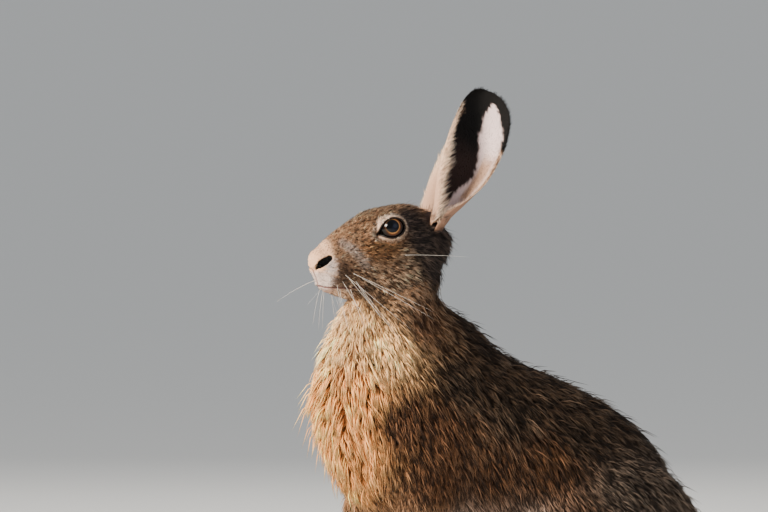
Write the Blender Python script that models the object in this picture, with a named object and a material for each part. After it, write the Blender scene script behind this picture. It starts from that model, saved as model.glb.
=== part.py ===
"""A brown hare sitting up, life size, as a still museum model.

The hare faces -X and its left side is -Y. The ground is z = 0 and the origin is under the middle of
its box. The flesh is modelled whole, from lofts and rounded forms fused into one surface, and is
then parted into its named nodes by thin cuts. The surface is the outside of the coat.
All sizes are in millimetres until the objects are made.
"""

import math

import bmesh
import bpy
import numpy as np
from mathutils import Matrix, Vector
from mathutils.bvhtree import BVHTree

MM = 0.001
GAP = 0.3
SIDES = {"left": -1, "right": 1}

# Trunk and neck. Each row is one section: the point on the back (x, z), the point on the belly or
# breast (x, z), the half width there, and the share of it that is left towards the back and the belly.
TRUNK = [
    (152, 104, 150, 74, 12, 1.0, 1.0),
    (149, 134, 138, 52, 38, 1.0, 1.0),
    (139, 168, 119, 42, 52, 0.95, 1.0),
    (122, 194, 95, 45, 58, 0.9, 0.95),
    (96, 214, 66, 62, 61, 0.85, 0.9),
    (61, 233, 38, 88, 60, 0.82, 0.85),
    (22, 249, 5, 106, 58, 0.8, 0.85),
    (-8, 264.5, -32, 118, 56, 0.78, 0.88),
    (-25, 281.5, -75, 126, 55, 0.75, 0.92),
    (-39, 291, -126, 147, 54, 0.72, 0.95),
    (-51, 298.5, -151, 184, 52, 0.72, 0.92),
    (-58, 307, -160, 222, 46, 0.75, 0.9),
    (-56, 320, -155, 254, 40, 0.8, 0.88),
    (-52, 333, -143, 281, 35.5, 0.85, 0.88),
    (-50, 344, -130, 301, 31, 0.9, 0.9),
    (-54, 352, -110, 318, 25, 1.0, 1.0),
]
SHOULDER = {"centre": (-84, 31, 200), "radii": (46, 22, 62), "lean": 12}
ELBOW = {"centre": (-80, 32, 160), "radii": (30, 18, 28), "lean": 0}
THIGH = {"centre": (76, 44, 112), "radii": (79, 31, 67), "lean": 4}
KNEE = {"centre": (42, 52, 82), "radii": (43, 25, 50), "lean": -18}
CALF = {"centre": (88, 52, 58), "radii": (58, 24, 34), "lean": 10}

# Head, as the trunk: top (x, z), bottom (x, z), half width, upper share, lower share
HEAD = [
    (-48, 352, -55, 330, 18, 1.0, 1.0),
    (-60, 370, -69, 312, 27, 0.95, 0.95),
    (-82, 378, -86, 300, 29.5, 0.9, 0.92),
    (-102, 376.5, -106, 297.5, 28, 0.9, 0.88),
    (-118, 373, -121, 299, 24.5, 0.85, 0.86),
    (-132, 365, -134, 302, 20, 0.8, 0.86),
    (-144, 356.5, -146, 305.5, 16.5, 0.78, 0.84),
    (-155, 347.5, -154, 308.5, 13.5, 0.8, 0.82),
    (-162.5, 339, -160, 310.5, 10.5, 0.85, 0.8),
    (-166, 333, -163.5, 318, 5.5, 1.0, 1.0),
]
CHEEK = {"centre": (-90, 16, 319), "radii": (29, 16, 21.5), "lean": 0}
WHISKER_PAD = {"centre": (-147.5, 8.0, 320.5), "radii": (13, 8.5, 10), "lean": 10}
ORBIT = {"centre": (-107, 9.5, 354), "radii": (22, 15.5, 14), "lean": 10}
NOSE_TIP = {"centre": (-157.5, 0, 334), "radii": (9, 10.5, 8.5), "lean": 30}

# Eyes look out to the side, a little forward and up
EYE_CENTRE = (-105.3, 19.3, 357.6)
EYE_RADIUS = 11.0
EYE_GAZE = (-0.34, 0.92, 0.18)
LID_THICK = 1.7
# The opening between the lids: its reach to the front and rear corners, its half height and the
# degrees that it tilts, then how far it sits below the eye's middle and how pointed its front is
LID_FRONT, LID_REAR, LID_HIGH, LID_TILT = 11.9, 9.8, 7.5, 15
LID_DROP = 1.3
LID_POINT = 1.2

# Ears: the middle of the root, the tip and the way the cup faces
EARS = {
    "left": {"root": (-69, -18, 353), "tip": (-22, -26, 466), "faces": (-0.454, -0.891, 0)},
    "right": {"root": (-65, 15, 353), "tip": (3, 10, 460), "faces": (-0.7, 0.71, 0)},
}
# Along the ear: share of its length, half width if laid flat, half angle that it curls through
EAR_ROWS = [
    (0.0, 20.0, 168),
    (0.12, 23.5, 145),
    (0.24, 28.0, 108),
    (0.4, 31.0, 83),
    (0.58, 30.5, 70),
    (0.75, 28.0, 60),
    (0.88, 22.0, 50),
    (0.965, 12.0, 36),
    (1.0, 3.5, 20),
]
EAR_THICK = 2.6
# How far the middle of the ear bows back from the line between its root and tip
EAR_BOW = 4
EAR_COLUMNS = 9

# Toes: the distance across from the middle of the foot, and how far each reaches ahead
AHEAD = {"left": 0, "right": -15}
FORE_TOES = ((-9.6, 8), (-3.3, 13), (3.3, 13), (9.6, 8))
HIND_TOES = ((-13, 10), (-4.4, 17), (4.4, 17), (13, 10))

# Nose and mouth, as points from the middle outwards to one side
NOSTRIL = [(-163.5, 3, 325.5), (-160, 7.5, 330), (-154.5, 11, 334)]
NOSTRIL_WIDTH = 2.2
MOUTH = [(-164, 0, 312.5), (-160, 6, 311.5), (-153, 11.5, 309.5), (-142, 15.5, 308.5), (-129, 19, 310)]
PHILTRUM = [(-168, 0, 325), (-167, 0, 319), (-164, 0, 312.5)]
# The radii of the grooves and of the lips beside the mouth
GROOVE = 1.1
LIP = 1.8


# Where the flesh is parted, as outlines in the side view. Each leg is cut beyond a distance from
# the middle plane. The trunk's parts lie to the left of a line, seen along it from its first point.
WIDE = 150
FAR = 400
EARS_PART_Y = -6
EAR_CUT = ((-86, 380), (-40, 361))
PAW_CUT_Y = 8
WRIST_CUT = [(-210, -5), (-70, -5), (-70, 34), (-210, 34)]
ELBOW_CUT = [(-160, -5), (-50, -5), (-50, 121), (-160, 156)]
ARM_CUT_Y = 27
SHOULDER_CUT = {"centre": (-84, 200), "radii": (50, 66), "lean": 12}
LEG_CUT_Y = 35
HEEL_CUT = [(-60, -5), (190, -5), (190, 40), (128, 31), (60, 27), (-60, 27)]
KNEE_CUT = [(-40, 5), (190, 5), (190, 72), (-40, 46)]
THIGH_CUT = {"centre": (76, 112), "radii": (84, 72), "lean": 4}
TAIL_CUT_Y = 21
TAIL_CUT = [(141, 74), (146, 60), (158, 5), (230, 5), (230, 108), (170, 108)]
TRUNK_CUTS = {
    "head": ((-132, 297), (-36, 341)),
    "neck": ((-190, 250), (-40, 300)),
    "chest": ((-62, 100), (-14, 300)),
    "rump": ((56, 280), (14, 80)),
}

# The triangles that are kept, by zone
ZONES = (
    (lambda p: p.z > 296 and p.x < -40, 1900),
    (lambda p: p.z < 34 and p.x < -60, 560),
    (lambda p: p.z < 30 and p.x > -60, 640),
    (lambda p: p.z < 296 and p.z > 30, 1600),
)
EYE_SIDES = 16

# Node name, or the start of it, with its colour and roughness
FINISHES = {
    "head": ((0.26, 0.18, 0.11), 0.9),
    "ear": ((0.34, 0.25, 0.17), 0.9),
    "eye": ((0.05, 0.02, 0.008), 0.08),
    "neck": ((0.36, 0.22, 0.11), 0.9),
    "chest": ((0.42, 0.23, 0.1), 0.9),
    "torso": ((0.27, 0.18, 0.1), 0.9),
    "rump": ((0.24, 0.17, 0.11), 0.9),
    "tail": ((0.5, 0.47, 0.42), 0.9),
    "upper_arm": ((0.36, 0.2, 0.09), 0.9),
    "forearm": ((0.45, 0.26, 0.12), 0.9),
    "forepaw": ((0.45, 0.28, 0.14), 0.9),
    "thigh": ((0.3, 0.19, 0.1), 0.9),
    "shank": ((0.38, 0.24, 0.12), 0.9),
    "hind_foot": ((0.42, 0.28, 0.16), 0.9),
}


def row_points(rows, steps):
    """The rows with smooth in-between rows on a Catmull-Rom curve."""
    rows = np.array(rows, float)
    ends = np.vstack([2 * rows[0] - rows[1], rows, 2 * rows[-1] - rows[-2]])
    made = []
    for a, b, c, d in zip(ends, ends[1:], ends[2:], ends[3:]):
        for t in np.arange(steps) / steps:
            bend = (2 * a - 5 * b + 4 * c - d) * t**2 + (3 * b - a - 3 * c + d) * t**3
            made.append(b + 0.5 * ((c - a) * t + bend))
    return np.array(made + [rows[-1]])


def closed_loft(rings):
    """A bmesh skinned over rings of equal length, with a face at each end. Sizes in millimetres."""
    bm = bmesh.new()
    rings = [[bm.verts.new(Vector(p) * MM) for p in ring] for ring in rings]
    for a, b in zip(rings, rings[1:]):
        for i in range(len(a)):
            j = (i + 1) % len(a)
            bm.faces.new((a[i], a[j], b[j], b[i]))
    bm.faces.new(rings[0][::-1])
    bm.faces.new(rings[-1])
    bmesh.ops.recalc_face_normals(bm, faces=bm.faces)
    return bm


def section_loft(stations, steps=4, around=32, square=1.0):
    """A symmetric body skinned over sections that each run from a top point to a bottom point."""
    turn = np.linspace(0, 2 * math.pi, around, endpoint=False)
    up = np.cos(turn)
    across = np.sign(np.sin(turn)) * np.abs(np.sin(turn)) ** square
    rings = []
    for top_x, top_z, low_x, low_z, half, upper, lower in row_points(stations, steps):
        share = np.where(up > 0, 1 + (upper - 1) * up, 1 - (lower - 1) * up)
        x = (top_x + low_x) / 2 + (top_x - low_x) / 2 * up
        z = (top_z + low_z) / 2 + (top_z - low_z) / 2 * up
        rings.append(np.stack([x, half * across * share, z], axis=1))
    return closed_loft(rings)


def rounded(side, centre, radii, lean=0, around=32):
    """An ellipsoid leaning by an angle in the side view, on the given side of the middle."""
    bm = bmesh.new()
    bmesh.ops.create_uvsphere(bm, u_segments=around, v_segments=around * 5 // 8, radius=MM)
    place = Matrix.Translation(Vector((centre[0], side * centre[1], centre[2])) * MM)
    turned = place @ Matrix.Rotation(math.radians(lean), 4, "Y")
    bm.transform(turned @ Matrix.Diagonal((*radii, 1)))
    return bm


def limb(points, around=20, steps=4, across_axis=(0, 1, 0)):
    """A rounded limb through rows of x, y, z, half width along the given axis and half depth."""
    rows = row_points(points, steps)
    path, across, deep = rows[:, :3], rows[:, 3], rows[:, 4]
    along = np.gradient(path, axis=0)
    along /= np.linalg.norm(along, axis=1)[:, None]
    side = np.cross(along, np.cross(across_axis, along))
    side /= np.linalg.norm(side, axis=1)[:, None]
    front = np.cross(side, along)
    turn = np.linspace(0, 2 * math.pi, around, endpoint=False)[:, None]

    def ring(i, shift, share):
        middle = path[i] + along[i] * shift
        return middle + share * (np.cos(turn) * side[i] * across[i] + np.sin(turn) * front[i] * deep[i])

    cap = np.radians((78, 52, 26))
    rings = [ring(0, -deep[0] * math.sin(angle), math.cos(angle)) for angle in cap]
    rings += [ring(i, 0, 1) for i in range(len(path))]
    rings += [ring(-1, deep[-1] * math.sin(angle), math.cos(angle)) for angle in cap[::-1]]
    return closed_loft(rings)


def prism(outline, low_y, high_y):
    """A closed prism over an outline of x, z points, from one y to another."""
    return closed_loft([[(x, y, z) for x, z in outline] for y in (low_y, high_y)])


def mesh_object(name, bm):
    mesh = bpy.data.meshes.new(name)
    bm.to_mesh(mesh)
    bm.free()
    made = bpy.data.objects.new(name, mesh)
    bpy.context.scene.collection.objects.link(made)
    return made


def applied(obj):
    """The object with its modifiers applied."""
    graph = bpy.context.evaluated_depsgraph_get()
    mesh = bpy.data.meshes.new_from_object(obj.evaluated_get(graph))
    obj.modifiers.clear()
    old, obj.data = obj.data, mesh
    bpy.data.meshes.remove(old)
    return obj


def removed(obj):
    mesh = obj.data
    bpy.data.objects.remove(obj)
    bpy.data.meshes.remove(mesh)


def combined(obj, tool, operation, solver="EXACT"):
    """The object after a Boolean with the tool, which is then gone."""
    tool = mesh_object("tool", tool)
    change = obj.modifiers.new("combine", "BOOLEAN")
    change.operation = operation
    change.solver = solver
    change.object = tool
    applied(obj)
    removed(tool)
    return obj


def copied(obj, name):
    made = bpy.data.objects.new(name, obj.data.copy())
    bpy.context.scene.collection.objects.link(made)
    return made


def bmesh_of(obj):
    """The object's surface as a bmesh, and the object is gone."""
    bm = bmesh.new()
    bm.from_mesh(obj.data)
    removed(obj)
    return bm


def largest_only(obj):
    """The object with only its largest closed surface."""
    bm = bmesh.new()
    bm.from_mesh(obj.data)
    left, groups = set(bm.verts), []
    while left:
        group, front = set(), [left.pop()]
        while front:
            vert = front.pop()
            group.add(vert)
            near = [edge.other_vert(vert) for edge in vert.link_edges]
            near = [v for v in near if v in left]
            left.difference_update(near)
            front.extend(near)
        groups.append(group)
    groups.sort(key=len)
    bmesh.ops.delete(bm, geom=[v for group in groups[:-1] for v in group], context="VERTS")
    bm.to_mesh(obj.data)
    bm.free()
    return obj


def grown(outline, by):
    """An outline of x, z points with every edge moved outward."""
    points = np.array(outline, float)
    ahead = np.roll(points, -1, axis=0)
    area = np.sum(points[:, 0] * ahead[:, 1] - ahead[:, 0] * points[:, 1])
    edge = (ahead - points) / np.linalg.norm(ahead - points, axis=1)[:, None]
    normal = np.stack([edge[:, 1], -edge[:, 0]], axis=1) * np.sign(area)
    before = np.roll(normal, 1, axis=0)
    return points + by * (normal + before) / (1 + np.sum(normal * before, axis=1))[:, None]


def parted(flesh, name, outline, low_y, high_y):
    """What lies inside a prism becomes a node, and the flesh ends a gap away from it."""
    node = combined(copied(flesh, name), prism(outline, low_y, high_y), "INTERSECT")
    wide = prism(grown(outline, GAP), low_y - GAP, high_y + GAP)
    combined(flesh, wide, "DIFFERENCE")
    return largest_only(node)


def beyond(start, end):
    """A wide four-sided outline to the left of the line through start and end."""
    start, end = Vector(start), Vector(end)
    along = (end - start).normalized() * FAR
    off = Vector((-along.y, along.x))
    return [start - along, end + along, end + along + off, start - along + off]


def oval(centre, radii, lean, count=28):
    """An elliptical outline of x, z points, leaning as the forms do."""
    lean = math.radians(lean)
    points = []
    for turn in np.linspace(0, 2 * math.pi, count, endpoint=False):
        a, b = radii[0] * math.cos(turn), radii[1] * math.sin(turn)
        x = centre[0] + a * math.cos(lean) + b * math.sin(lean)
        points.append((x, centre[1] - a * math.sin(lean) + b * math.cos(lean)))
    return points


def fused(name, shapes, voxel, smoothing):
    """The shapes as one closed surface, with the creases between them eased."""
    bm = bmesh.new()
    for shape in shapes:
        mesh = bpy.data.meshes.new("shape")
        shape.to_mesh(mesh)
        bm.from_mesh(mesh)
        bpy.data.meshes.remove(mesh)
        shape.free()
    whole = mesh_object(name, bm)
    remesh = whole.modifiers.new("fuse", "REMESH")
    remesh.mode = "VOXEL"
    remesh.voxel_size = voxel * MM
    smooth = whole.modifiers.new("ease", "SMOOTH")
    smooth.factor = 0.5
    smooth.iterations = smoothing
    return applied(whole)


def thinned(obj, zones):
    """The object with fewer triangles: each zone is a test on a point and the number to keep there."""
    for inside, keep in zones:
        chosen = [vert.index for vert in obj.data.vertices if inside(vert.co / MM)]
        picked = set(chosen)
        sides = [(len(face.vertices) - 2, picked.issuperset(face.vertices)) for face in obj.data.polygons]
        every, within = sum(n for n, _ in sides), sum(n for n, here in sides if here)
        group = obj.vertex_groups.new(name="zone")
        group.add(chosen, 1, "REPLACE")
        thin = obj.modifiers.new("thin", "DECIMATE")
        thin.vertex_group = group.name
        thin.ratio = (every - within + keep) / every
        applied(obj)
        obj.vertex_groups.clear()
    return obj


def foreleg(name):
    """The forearm of one side, and its paw with toes. The right leg stands a little ahead."""
    side, ahead = SIDES[name], AHEAD[name]
    forearm = limb([
        (-86, side * 33, 190, 20, 27),
        (-86 + ahead * 0.5, side * 33, 160, 17.5, 22),
        (-91 + ahead * 0.9, side * 31, 133, 14.5, 16),
        (-95 + ahead, side * 29, 102, 12.5, 13.5),
        (-99 + ahead, side * 27, 70, 11, 12),
        (-102 + ahead, side * 26, 42, 10.5, 11),
        (-104 + ahead, side * 26, 24, 11.5, 11),
    ])
    paw = [limb([
        (-100 + ahead, side * 26, 15, 12, 13),
        (-112 + ahead, side * 26.5, 11, 13.5, 12),
        (-124 + ahead, side * 27, 8, 13.5, 9.5),
    ])]
    for across, reach in FORE_TOES:
        y = side * 27 + across
        paw.append(limb([
            (-117 + ahead, y * 0.99, 9, 4.5, 7),
            (-127 + ahead - reach * 0.4, y, 6.5, 4.5, 6.6),
            (-129 + ahead - reach, y, 4.4, 3.8, 5.4),
        ], around=12))
    return forearm, paw


def hind_leg(name):
    """The shank of one side, and its long foot with toes."""
    side = SIDES[name]
    shank = limb([
        (40, side * 56, 72, 20, 28),
        (70, side * 57, 57, 19, 26),
        (104, side * 56, 42, 16, 22),
        (128, side * 54, 30, 14, 18),
        (139, side * 53, 22, 12.5, 16),
    ])
    foot = [limb([
        (140, side * 53, 15, 13, 16.5),
        (118, side * 55, 13, 14, 15.5),
        (82, side * 58, 12, 15.5, 14),
        (46, side * 62, 11, 17, 12.5),
        (18, side * 65, 9.5, 18, 11.5),
    ])]
    for across, reach in HIND_TOES:
        y = side * 65 + across
        foot.append(limb([
            (26, y - across * 0.1, 10, 5.8, 9),
            (10 - reach * 0.4, y, 7.5, 5.6, 8),
            (2 - reach, y, 5, 4.8, 6.2),
        ], around=12))
    return shank, foot


def claws(name):
    """The claws of both feet of one side, each rooted inside its toe."""
    side, ahead = SIDES[name], AHEAD[name]
    tips = [(-134 + ahead - reach, side * 27 + across) for across, reach in FORE_TOES]
    tips += [(-4 - reach, side * 65 + across) for across, reach in HIND_TOES]
    turn = np.linspace(0, 2 * math.pi, 6, endpoint=False)
    ring = np.stack([np.zeros(6), np.cos(turn), np.sin(turn) * 1.2], axis=1)
    for x, y in tips:
        rows = [(x + 5, y, 6, 1.7), (x - 1, y, 5.2, 1.4), (x - 5, y, 2.8, 0.5)]
        yield closed_loft([np.array(row[:3]) + ring * row[3] for row in rows])


def tail():
    return limb([
        (132, 0, 98, 16, 19),
        (150, 0, 88, 19, 18),
        (168, 0, 73, 20, 17),
        (183, 0, 56, 17.5, 14.5),
        (193, 0, 42, 11, 9.5),
    ])


def flesh():
    """The whole hare but its ears and eyes, as one surface."""
    body, fine = [section_loft(TRUNK)], [section_loft(HEAD, around=40, square=0.8), tail()]
    fine.append(rounded(0, **NOSE_TIP))
    for name, side in SIDES.items():
        body += [rounded(side, **form) for form in (SHOULDER, ELBOW, THIGH, KNEE, CALF)]
        fine += [rounded(side, **form) for form in (CHEEK, WHISKER_PAD, ORBIT)]
        shank, foot = hind_leg(name)
        forearm, paw = foreleg(name)
        body.append(shank)
        fine += [forearm, *foot, *paw]
    smooth_body = bmesh_of(fused("body", body, 2.6, 30))
    return fused("flesh", [smooth_body, *fine], 1.8, 9)


def ear_solid(root, tip, faces):
    """A cupped leaf: rows along the ear, each an arc that curls towards the way the ear faces."""
    root, tip = np.array(root, float), np.array(tip, float)
    length = np.linalg.norm(tip - root)
    axis = (tip - root) / length
    faces = np.array(faces, float)
    faces -= axis * (faces @ axis)
    faces /= np.linalg.norm(faces)
    wide = np.cross(axis, faces)
    rings = []
    columns = np.linspace(-1, 1, EAR_COLUMNS)
    for share, half, curl in row_points(EAR_ROWS, 2):
        curl = math.radians(curl)
        radius = half / curl
        depth = radius * (1 - math.cos(curl))
        bow = EAR_BOW * math.sin(math.pi * share)
        middle = root + axis * share * length + bow * np.sign(wide[0]) * wide
        hub = middle + faces * (radius - depth / 2)
        turn = columns * curl
        out = np.sin(turn)[:, None] * wide - np.cos(turn)[:, None] * faces
        thick = EAR_THICK * (1 - 0.45 * np.abs(columns)) * (1 - 0.4 * share)
        outer = hub + out * radius
        inner = hub + out * (radius - thick[:, None])
        rings.append(np.vstack([outer, inner[::-1]]))
    return closed_loft(rings)


def snapped(surface, points, lift=0):
    """The points moved onto the surface, and then out from it."""
    made = []
    for point in points:
        place, normal = surface.find_nearest(Vector(point) * MM)[:2]
        made.append(place / MM + normal * lift)
    return made


def tube(points, radius):
    """A thin tube of even width through points that run mostly level."""
    rows = [(*point, radius, radius) for point in points]
    return limb(rows, around=6, steps=1, across_axis=(0, 0.3, 1))


def both_sides(points):
    """A line from the left side over the middle to the right side."""
    return [(x, -y, z) for x, y, z in points[:0:-1]] + list(points)


def with_mouth(head):
    """Lips raised on each side of the mouth's line, then the line, the cleft and the nostrils cut."""
    surface = BVHTree.FromObject(head, bpy.context.evaluated_depsgraph_get())
    line = both_sides(MOUTH)
    cleft = snapped(surface, PHILTRUM)
    groove = snapped(surface, line)
    slits = []
    for side in SIDES.values():
        slits.append(snapped(surface, [(x, side * y, z) for x, y, z in NOSTRIL], -0.5))
    for shift in (LIP, -LIP):
        lip = snapped(surface, [(x, y, z + shift) for x, y, z in line], -0.5 * LIP)
        combined(head, tube(lip, LIP), "UNION")
    combined(head, tube(groove, GROOVE), "DIFFERENCE")
    combined(head, tube(cleft, GROOVE), "DIFFERENCE", "MANIFOLD")
    for slit in slits:
        combined(head, tube(slit, NOSTRIL_WIDTH), "DIFFERENCE")


def lid_opening(side):
    """The almond between the lids, pointed at the front, as a prism along the gaze."""
    gaze = Vector((EYE_GAZE[0], side * EYE_GAZE[1], EYE_GAZE[2])).normalized()
    back = Vector((1, 0, 0)) - gaze * gaze.x
    back = Matrix.Rotation(-side * math.radians(LID_TILT), 3, gaze) @ back.normalized()
    up = back.cross(gaze) * side
    centre = Vector((EYE_CENTRE[0], side * EYE_CENTRE[1], EYE_CENTRE[2]))
    rim = []
    for turn in np.linspace(0, 2 * math.pi, 28, endpoint=False):
        along = math.cos(turn)
        high = LID_HIGH * math.sin(turn) * (1 if along > 0 else abs(math.sin(turn)) ** LID_POINT)
        rim.append(back * along * (LID_REAR if along > 0 else LID_FRONT) + up * (high - LID_DROP))
    return closed_loft([[centre + gaze * reach + point for point in rim]
                        for reach in (EYE_RADIUS * 0.5, EYE_RADIUS * 1.6)])


def with_lids(head):
    """Lids closed over each eye's place, hollowed for the eye and opened in front of it."""
    for side in SIDES.values():
        lid, socket = EYE_RADIUS + LID_THICK, EYE_RADIUS + GAP
        combined(head, rounded(side, EYE_CENTRE, (lid,) * 3, around=EYE_SIDES), "UNION")
        combined(head, rounded(side, EYE_CENTRE, (socket,) * 3, around=EYE_SIDES), "DIFFERENCE")
        combined(head, lid_opening(side), "DIFFERENCE")


def with_flat_soles(whole):
    ground = [(-300, -60), (300, -60), (300, 0), (-300, 0)]
    return combined(whole, prism(ground, -200, 200), "DIFFERENCE")


def cut_into_nodes(whole):
    """Every node of flesh, each cut from the whole in turn."""
    nodes = []

    def cut(name, outline, low_y, high_y):
        nodes.append(parted(whole, name, outline, low_y, high_y))

    def cut_pair(name, outline, inner_y):
        for side, sign in SIDES.items():
            cut(name + "_" + side, outline, *sorted((sign * inner_y, sign * WIDE)))

    cut("ear_left", beyond(*EAR_CUT), -WIDE, EARS_PART_Y)
    cut("ear_right", beyond(*EAR_CUT), EARS_PART_Y, WIDE)
    cut_pair("forepaw", WRIST_CUT, PAW_CUT_Y)
    cut_pair("hind_foot", HEEL_CUT, LEG_CUT_Y)
    cut_pair("shank", KNEE_CUT, LEG_CUT_Y)
    cut_pair("thigh", oval(**THIGH_CUT), LEG_CUT_Y)
    cut_pair("upper_arm", oval(**SHOULDER_CUT), ARM_CUT_Y)
    cut_pair("forearm", ELBOW_CUT, PAW_CUT_Y)
    cut("tail", TAIL_CUT, -TAIL_CUT_Y, TAIL_CUT_Y)
    for name, line in TRUNK_CUTS.items():
        cut(name, beyond(*line), -WIDE, WIDE)
    whole.name = "torso"
    nodes.append(largest_only(whole))
    return nodes


def finish(obj):
    """A node's material, its smooth shading and its clean single surface."""
    kind = next(kind for kind in FINISHES if obj.name.startswith(kind))
    colour, roughness = FINISHES[kind]
    material = bpy.data.materials.get(kind + "_finish") or bpy.data.materials.new(kind + "_finish")
    material.use_nodes = True
    shader = material.node_tree.nodes["Principled BSDF"]
    shader.inputs["Base Color"].default_value = (*colour, 1)
    shader.inputs["Roughness"].default_value = roughness
    obj.data.materials.clear()
    obj.data.materials.append(material)
    obj.data.shade_smooth()
    obj.data.set_sharp_from_angle(angle=math.radians(50))


def main():
    for obj in list(bpy.data.objects):
        bpy.data.objects.remove(obj)
    whole = flesh()
    thinned(whole, ZONES)
    with_mouth(whole)
    with_lids(whole)
    with_flat_soles(whole)
    for name in SIDES:
        combined(whole, ear_solid(**EARS[name]), "UNION")
        for claw in claws(name):
            combined(whole, claw, "UNION")
    nodes = cut_into_nodes(whole)
    for name, side in SIDES.items():
        eye = rounded(side, EYE_CENTRE, (EYE_RADIUS,) * 3, around=EYE_SIDES)
        nodes.append(mesh_object("eye_" + name, eye))
    corners = np.array([vert.co for node in nodes for vert in node.data.vertices])
    middle = (corners.min(axis=0) + corners.max(axis=0)) / 2
    for node in nodes:
        node.data.transform(Matrix.Translation((-middle[0], -middle[1], 0)))
        finish(node)


main()
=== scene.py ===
"""A brown hare that sits upright and watches: skin, coat, eyes, claws and whiskers over its solids."""

import math

import bmesh
import bpy
import numpy as np
from mathutils import Matrix, Vector
from mathutils.bvhtree import BVHTree
from mathutils.kdtree import KDTree

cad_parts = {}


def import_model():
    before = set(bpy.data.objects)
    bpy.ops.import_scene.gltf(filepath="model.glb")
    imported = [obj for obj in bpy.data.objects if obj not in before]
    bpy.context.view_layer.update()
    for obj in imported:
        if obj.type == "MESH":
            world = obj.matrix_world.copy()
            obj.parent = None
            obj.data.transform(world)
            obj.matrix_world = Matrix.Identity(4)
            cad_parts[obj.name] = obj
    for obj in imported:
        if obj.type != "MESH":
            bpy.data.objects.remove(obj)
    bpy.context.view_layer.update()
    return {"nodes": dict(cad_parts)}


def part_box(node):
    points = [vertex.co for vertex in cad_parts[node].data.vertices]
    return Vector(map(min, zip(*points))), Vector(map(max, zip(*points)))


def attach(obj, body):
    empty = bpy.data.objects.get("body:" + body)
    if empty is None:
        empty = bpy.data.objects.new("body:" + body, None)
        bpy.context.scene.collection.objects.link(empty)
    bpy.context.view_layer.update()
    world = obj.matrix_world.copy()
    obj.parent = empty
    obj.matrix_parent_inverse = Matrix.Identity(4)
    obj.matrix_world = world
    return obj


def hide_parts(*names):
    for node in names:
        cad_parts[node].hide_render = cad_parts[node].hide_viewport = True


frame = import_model()
# The solids of flesh, which the skin covers
FLESH = sorted(name for name in frame["nodes"] if not name.startswith(("ear", "eye")))

# Sizes and places are in millimetres, in the frame that the hare was drawn in: it faces -X, its
# left side is -Y and the ground is at height 0. World places are in metres and a little shifted.
MM = 0.001
SIDES = {"left": -1, "right": 1}
SEED = 7

# The photograph: millimetres a pixel, the pixel that shows the drawing frame's origin, and the view
PIXEL = 0.78
PHOTO_SIZE = (768, 512)
ORIGIN_PIXEL = (500, 684)
VIEW_TURN = -27
VIEW_TILT = 2
VIEW_DISTANCE = 7.0
SENSOR = 36

# Eyes: the right one's centre and gaze, and the almond between its lids
EYE_CENTRE = (-105.3, 19.3, 357.6)
EYE_RADIUS = 11.0
EYE_GAZE = (-0.34, 0.92, 0.18)
LID_FRONT, LID_REAR, LID_HIGH, LID_TILT = 11.6, 9.5, 7.2, 15
LID_DROP = 1.3
LID_POINT = 1.2
LID_THICK = 1.7
LID_RIM = 1.1
# How far round an eye the skin is drawn to its lids, how close to their edge it is moved onto it, how
# far inside the almond it sinks below the eyeball, and how far the cornea stands out
LID_REACH, LID_SNAP, SOCKET_SUNK, CORNEA = 9, 0.4, 2.2, 0.9
# Points round the almond and round the eyeball
EYE_SIDES = 72

# Ears: root, tip and the way the hollow faces, then rows of share of the length, half width
# measured flat and half the angle of its curl
EARS = {
    "left": ((-69, -18, 353), (-22, -26, 466), (-0.454, -0.891, 0)),
    "right": ((-65, 15, 353), (3, 10, 460), (-0.7, 0.71, 0)),
}
EAR_ROWS = [
    (0, 19, 178), (0.12, 22.5, 172), (0.24, 27.5, 126), (0.4, 31, 90), (0.58, 31.5, 73),
    (0.75, 30, 62), (0.88, 25, 52), (0.965, 15.5, 40), (1, 5, 24),
]
# The wall's thickness, and how much thinner it is at the edges and the tip
EAR_THICK, EDGE_THINNER, TIP_THINNER = 2.6, 0.45, 0.4
# How far the ear bows ahead, how deep its skin lies under the coat, the share of the length that the
# skin has, and the teeth of the fringe along the front edge
EAR_BOW = 4
EAR_COAT = 0.45
EAR_REACH = 0.972
EAR_FRINGE = 30
# The ears' hair: tries at placing one, the half width that takes them all, and where it begins
EAR_TRIES, EAR_WIDEST, EAR_HAIR_FROM = 22000, 31, 0.06
# How much lower the crown's skin lies than the solid
CROWN_DROP = 2.2
# The stub of an ear on the head: how far up its axis and off it the stub reaches, and how much
# thinner it is made so that it hides in the ear's own skin
STUB_ALONG, STUB_ASIDE, STUB_THINNER = (3, 9), (16, 12), 0.5
# The front edge folds over outwards: from which share of the half width, how tightly, how much
# tighter near the tip, and how far round at shares of the ear's length
FOLD_FROM, FOLD_RADIUS, FOLD_TIGHTER = 0.7, 7.0, 0.75
FOLD_TURN = ((0, 12), (0.12, 32), (0.24, 80), (0.4, 112), (0.8, 112), (1, 60))

# Nose and mouth, as points from the middle outwards to one side
NOSTRIL = [(-162.8, 4, 326.5), (-160, 7.5, 330), (-154.5, 11, 334.5)]
NOSTRIL_HALF = 3.3
MOUTH = [(-164, 0, 312.5), (-160, 6, 311.5), (-153, 11.5, 309.5), (-142, 15.5, 308.5), (-129, 19, 310)]
PHILTRUM = [(-168, 0, 325), (-167, 0, 319), (-164, 0, 312.5)]
# How far the upper lip is drawn back from the nose, and the lower lip from the upper one
UPPER_BACK, LIP_BACK = 2.6, 4
# The depth of the mouth's groove and of the nostrils, and the height of the edges along them
GROOVE_DEEP, LIP_HIGH, NOSTRIL_DEEP, NOSTRIL_LIP = 1.2, 0.5, 3.6, 0.35
# The pale streak from the bridge of the nose to the cheek
STREAK = [(-144, 12, 347), (-136, 15.5, 340), (-128, 18.5, 330)]

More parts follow.
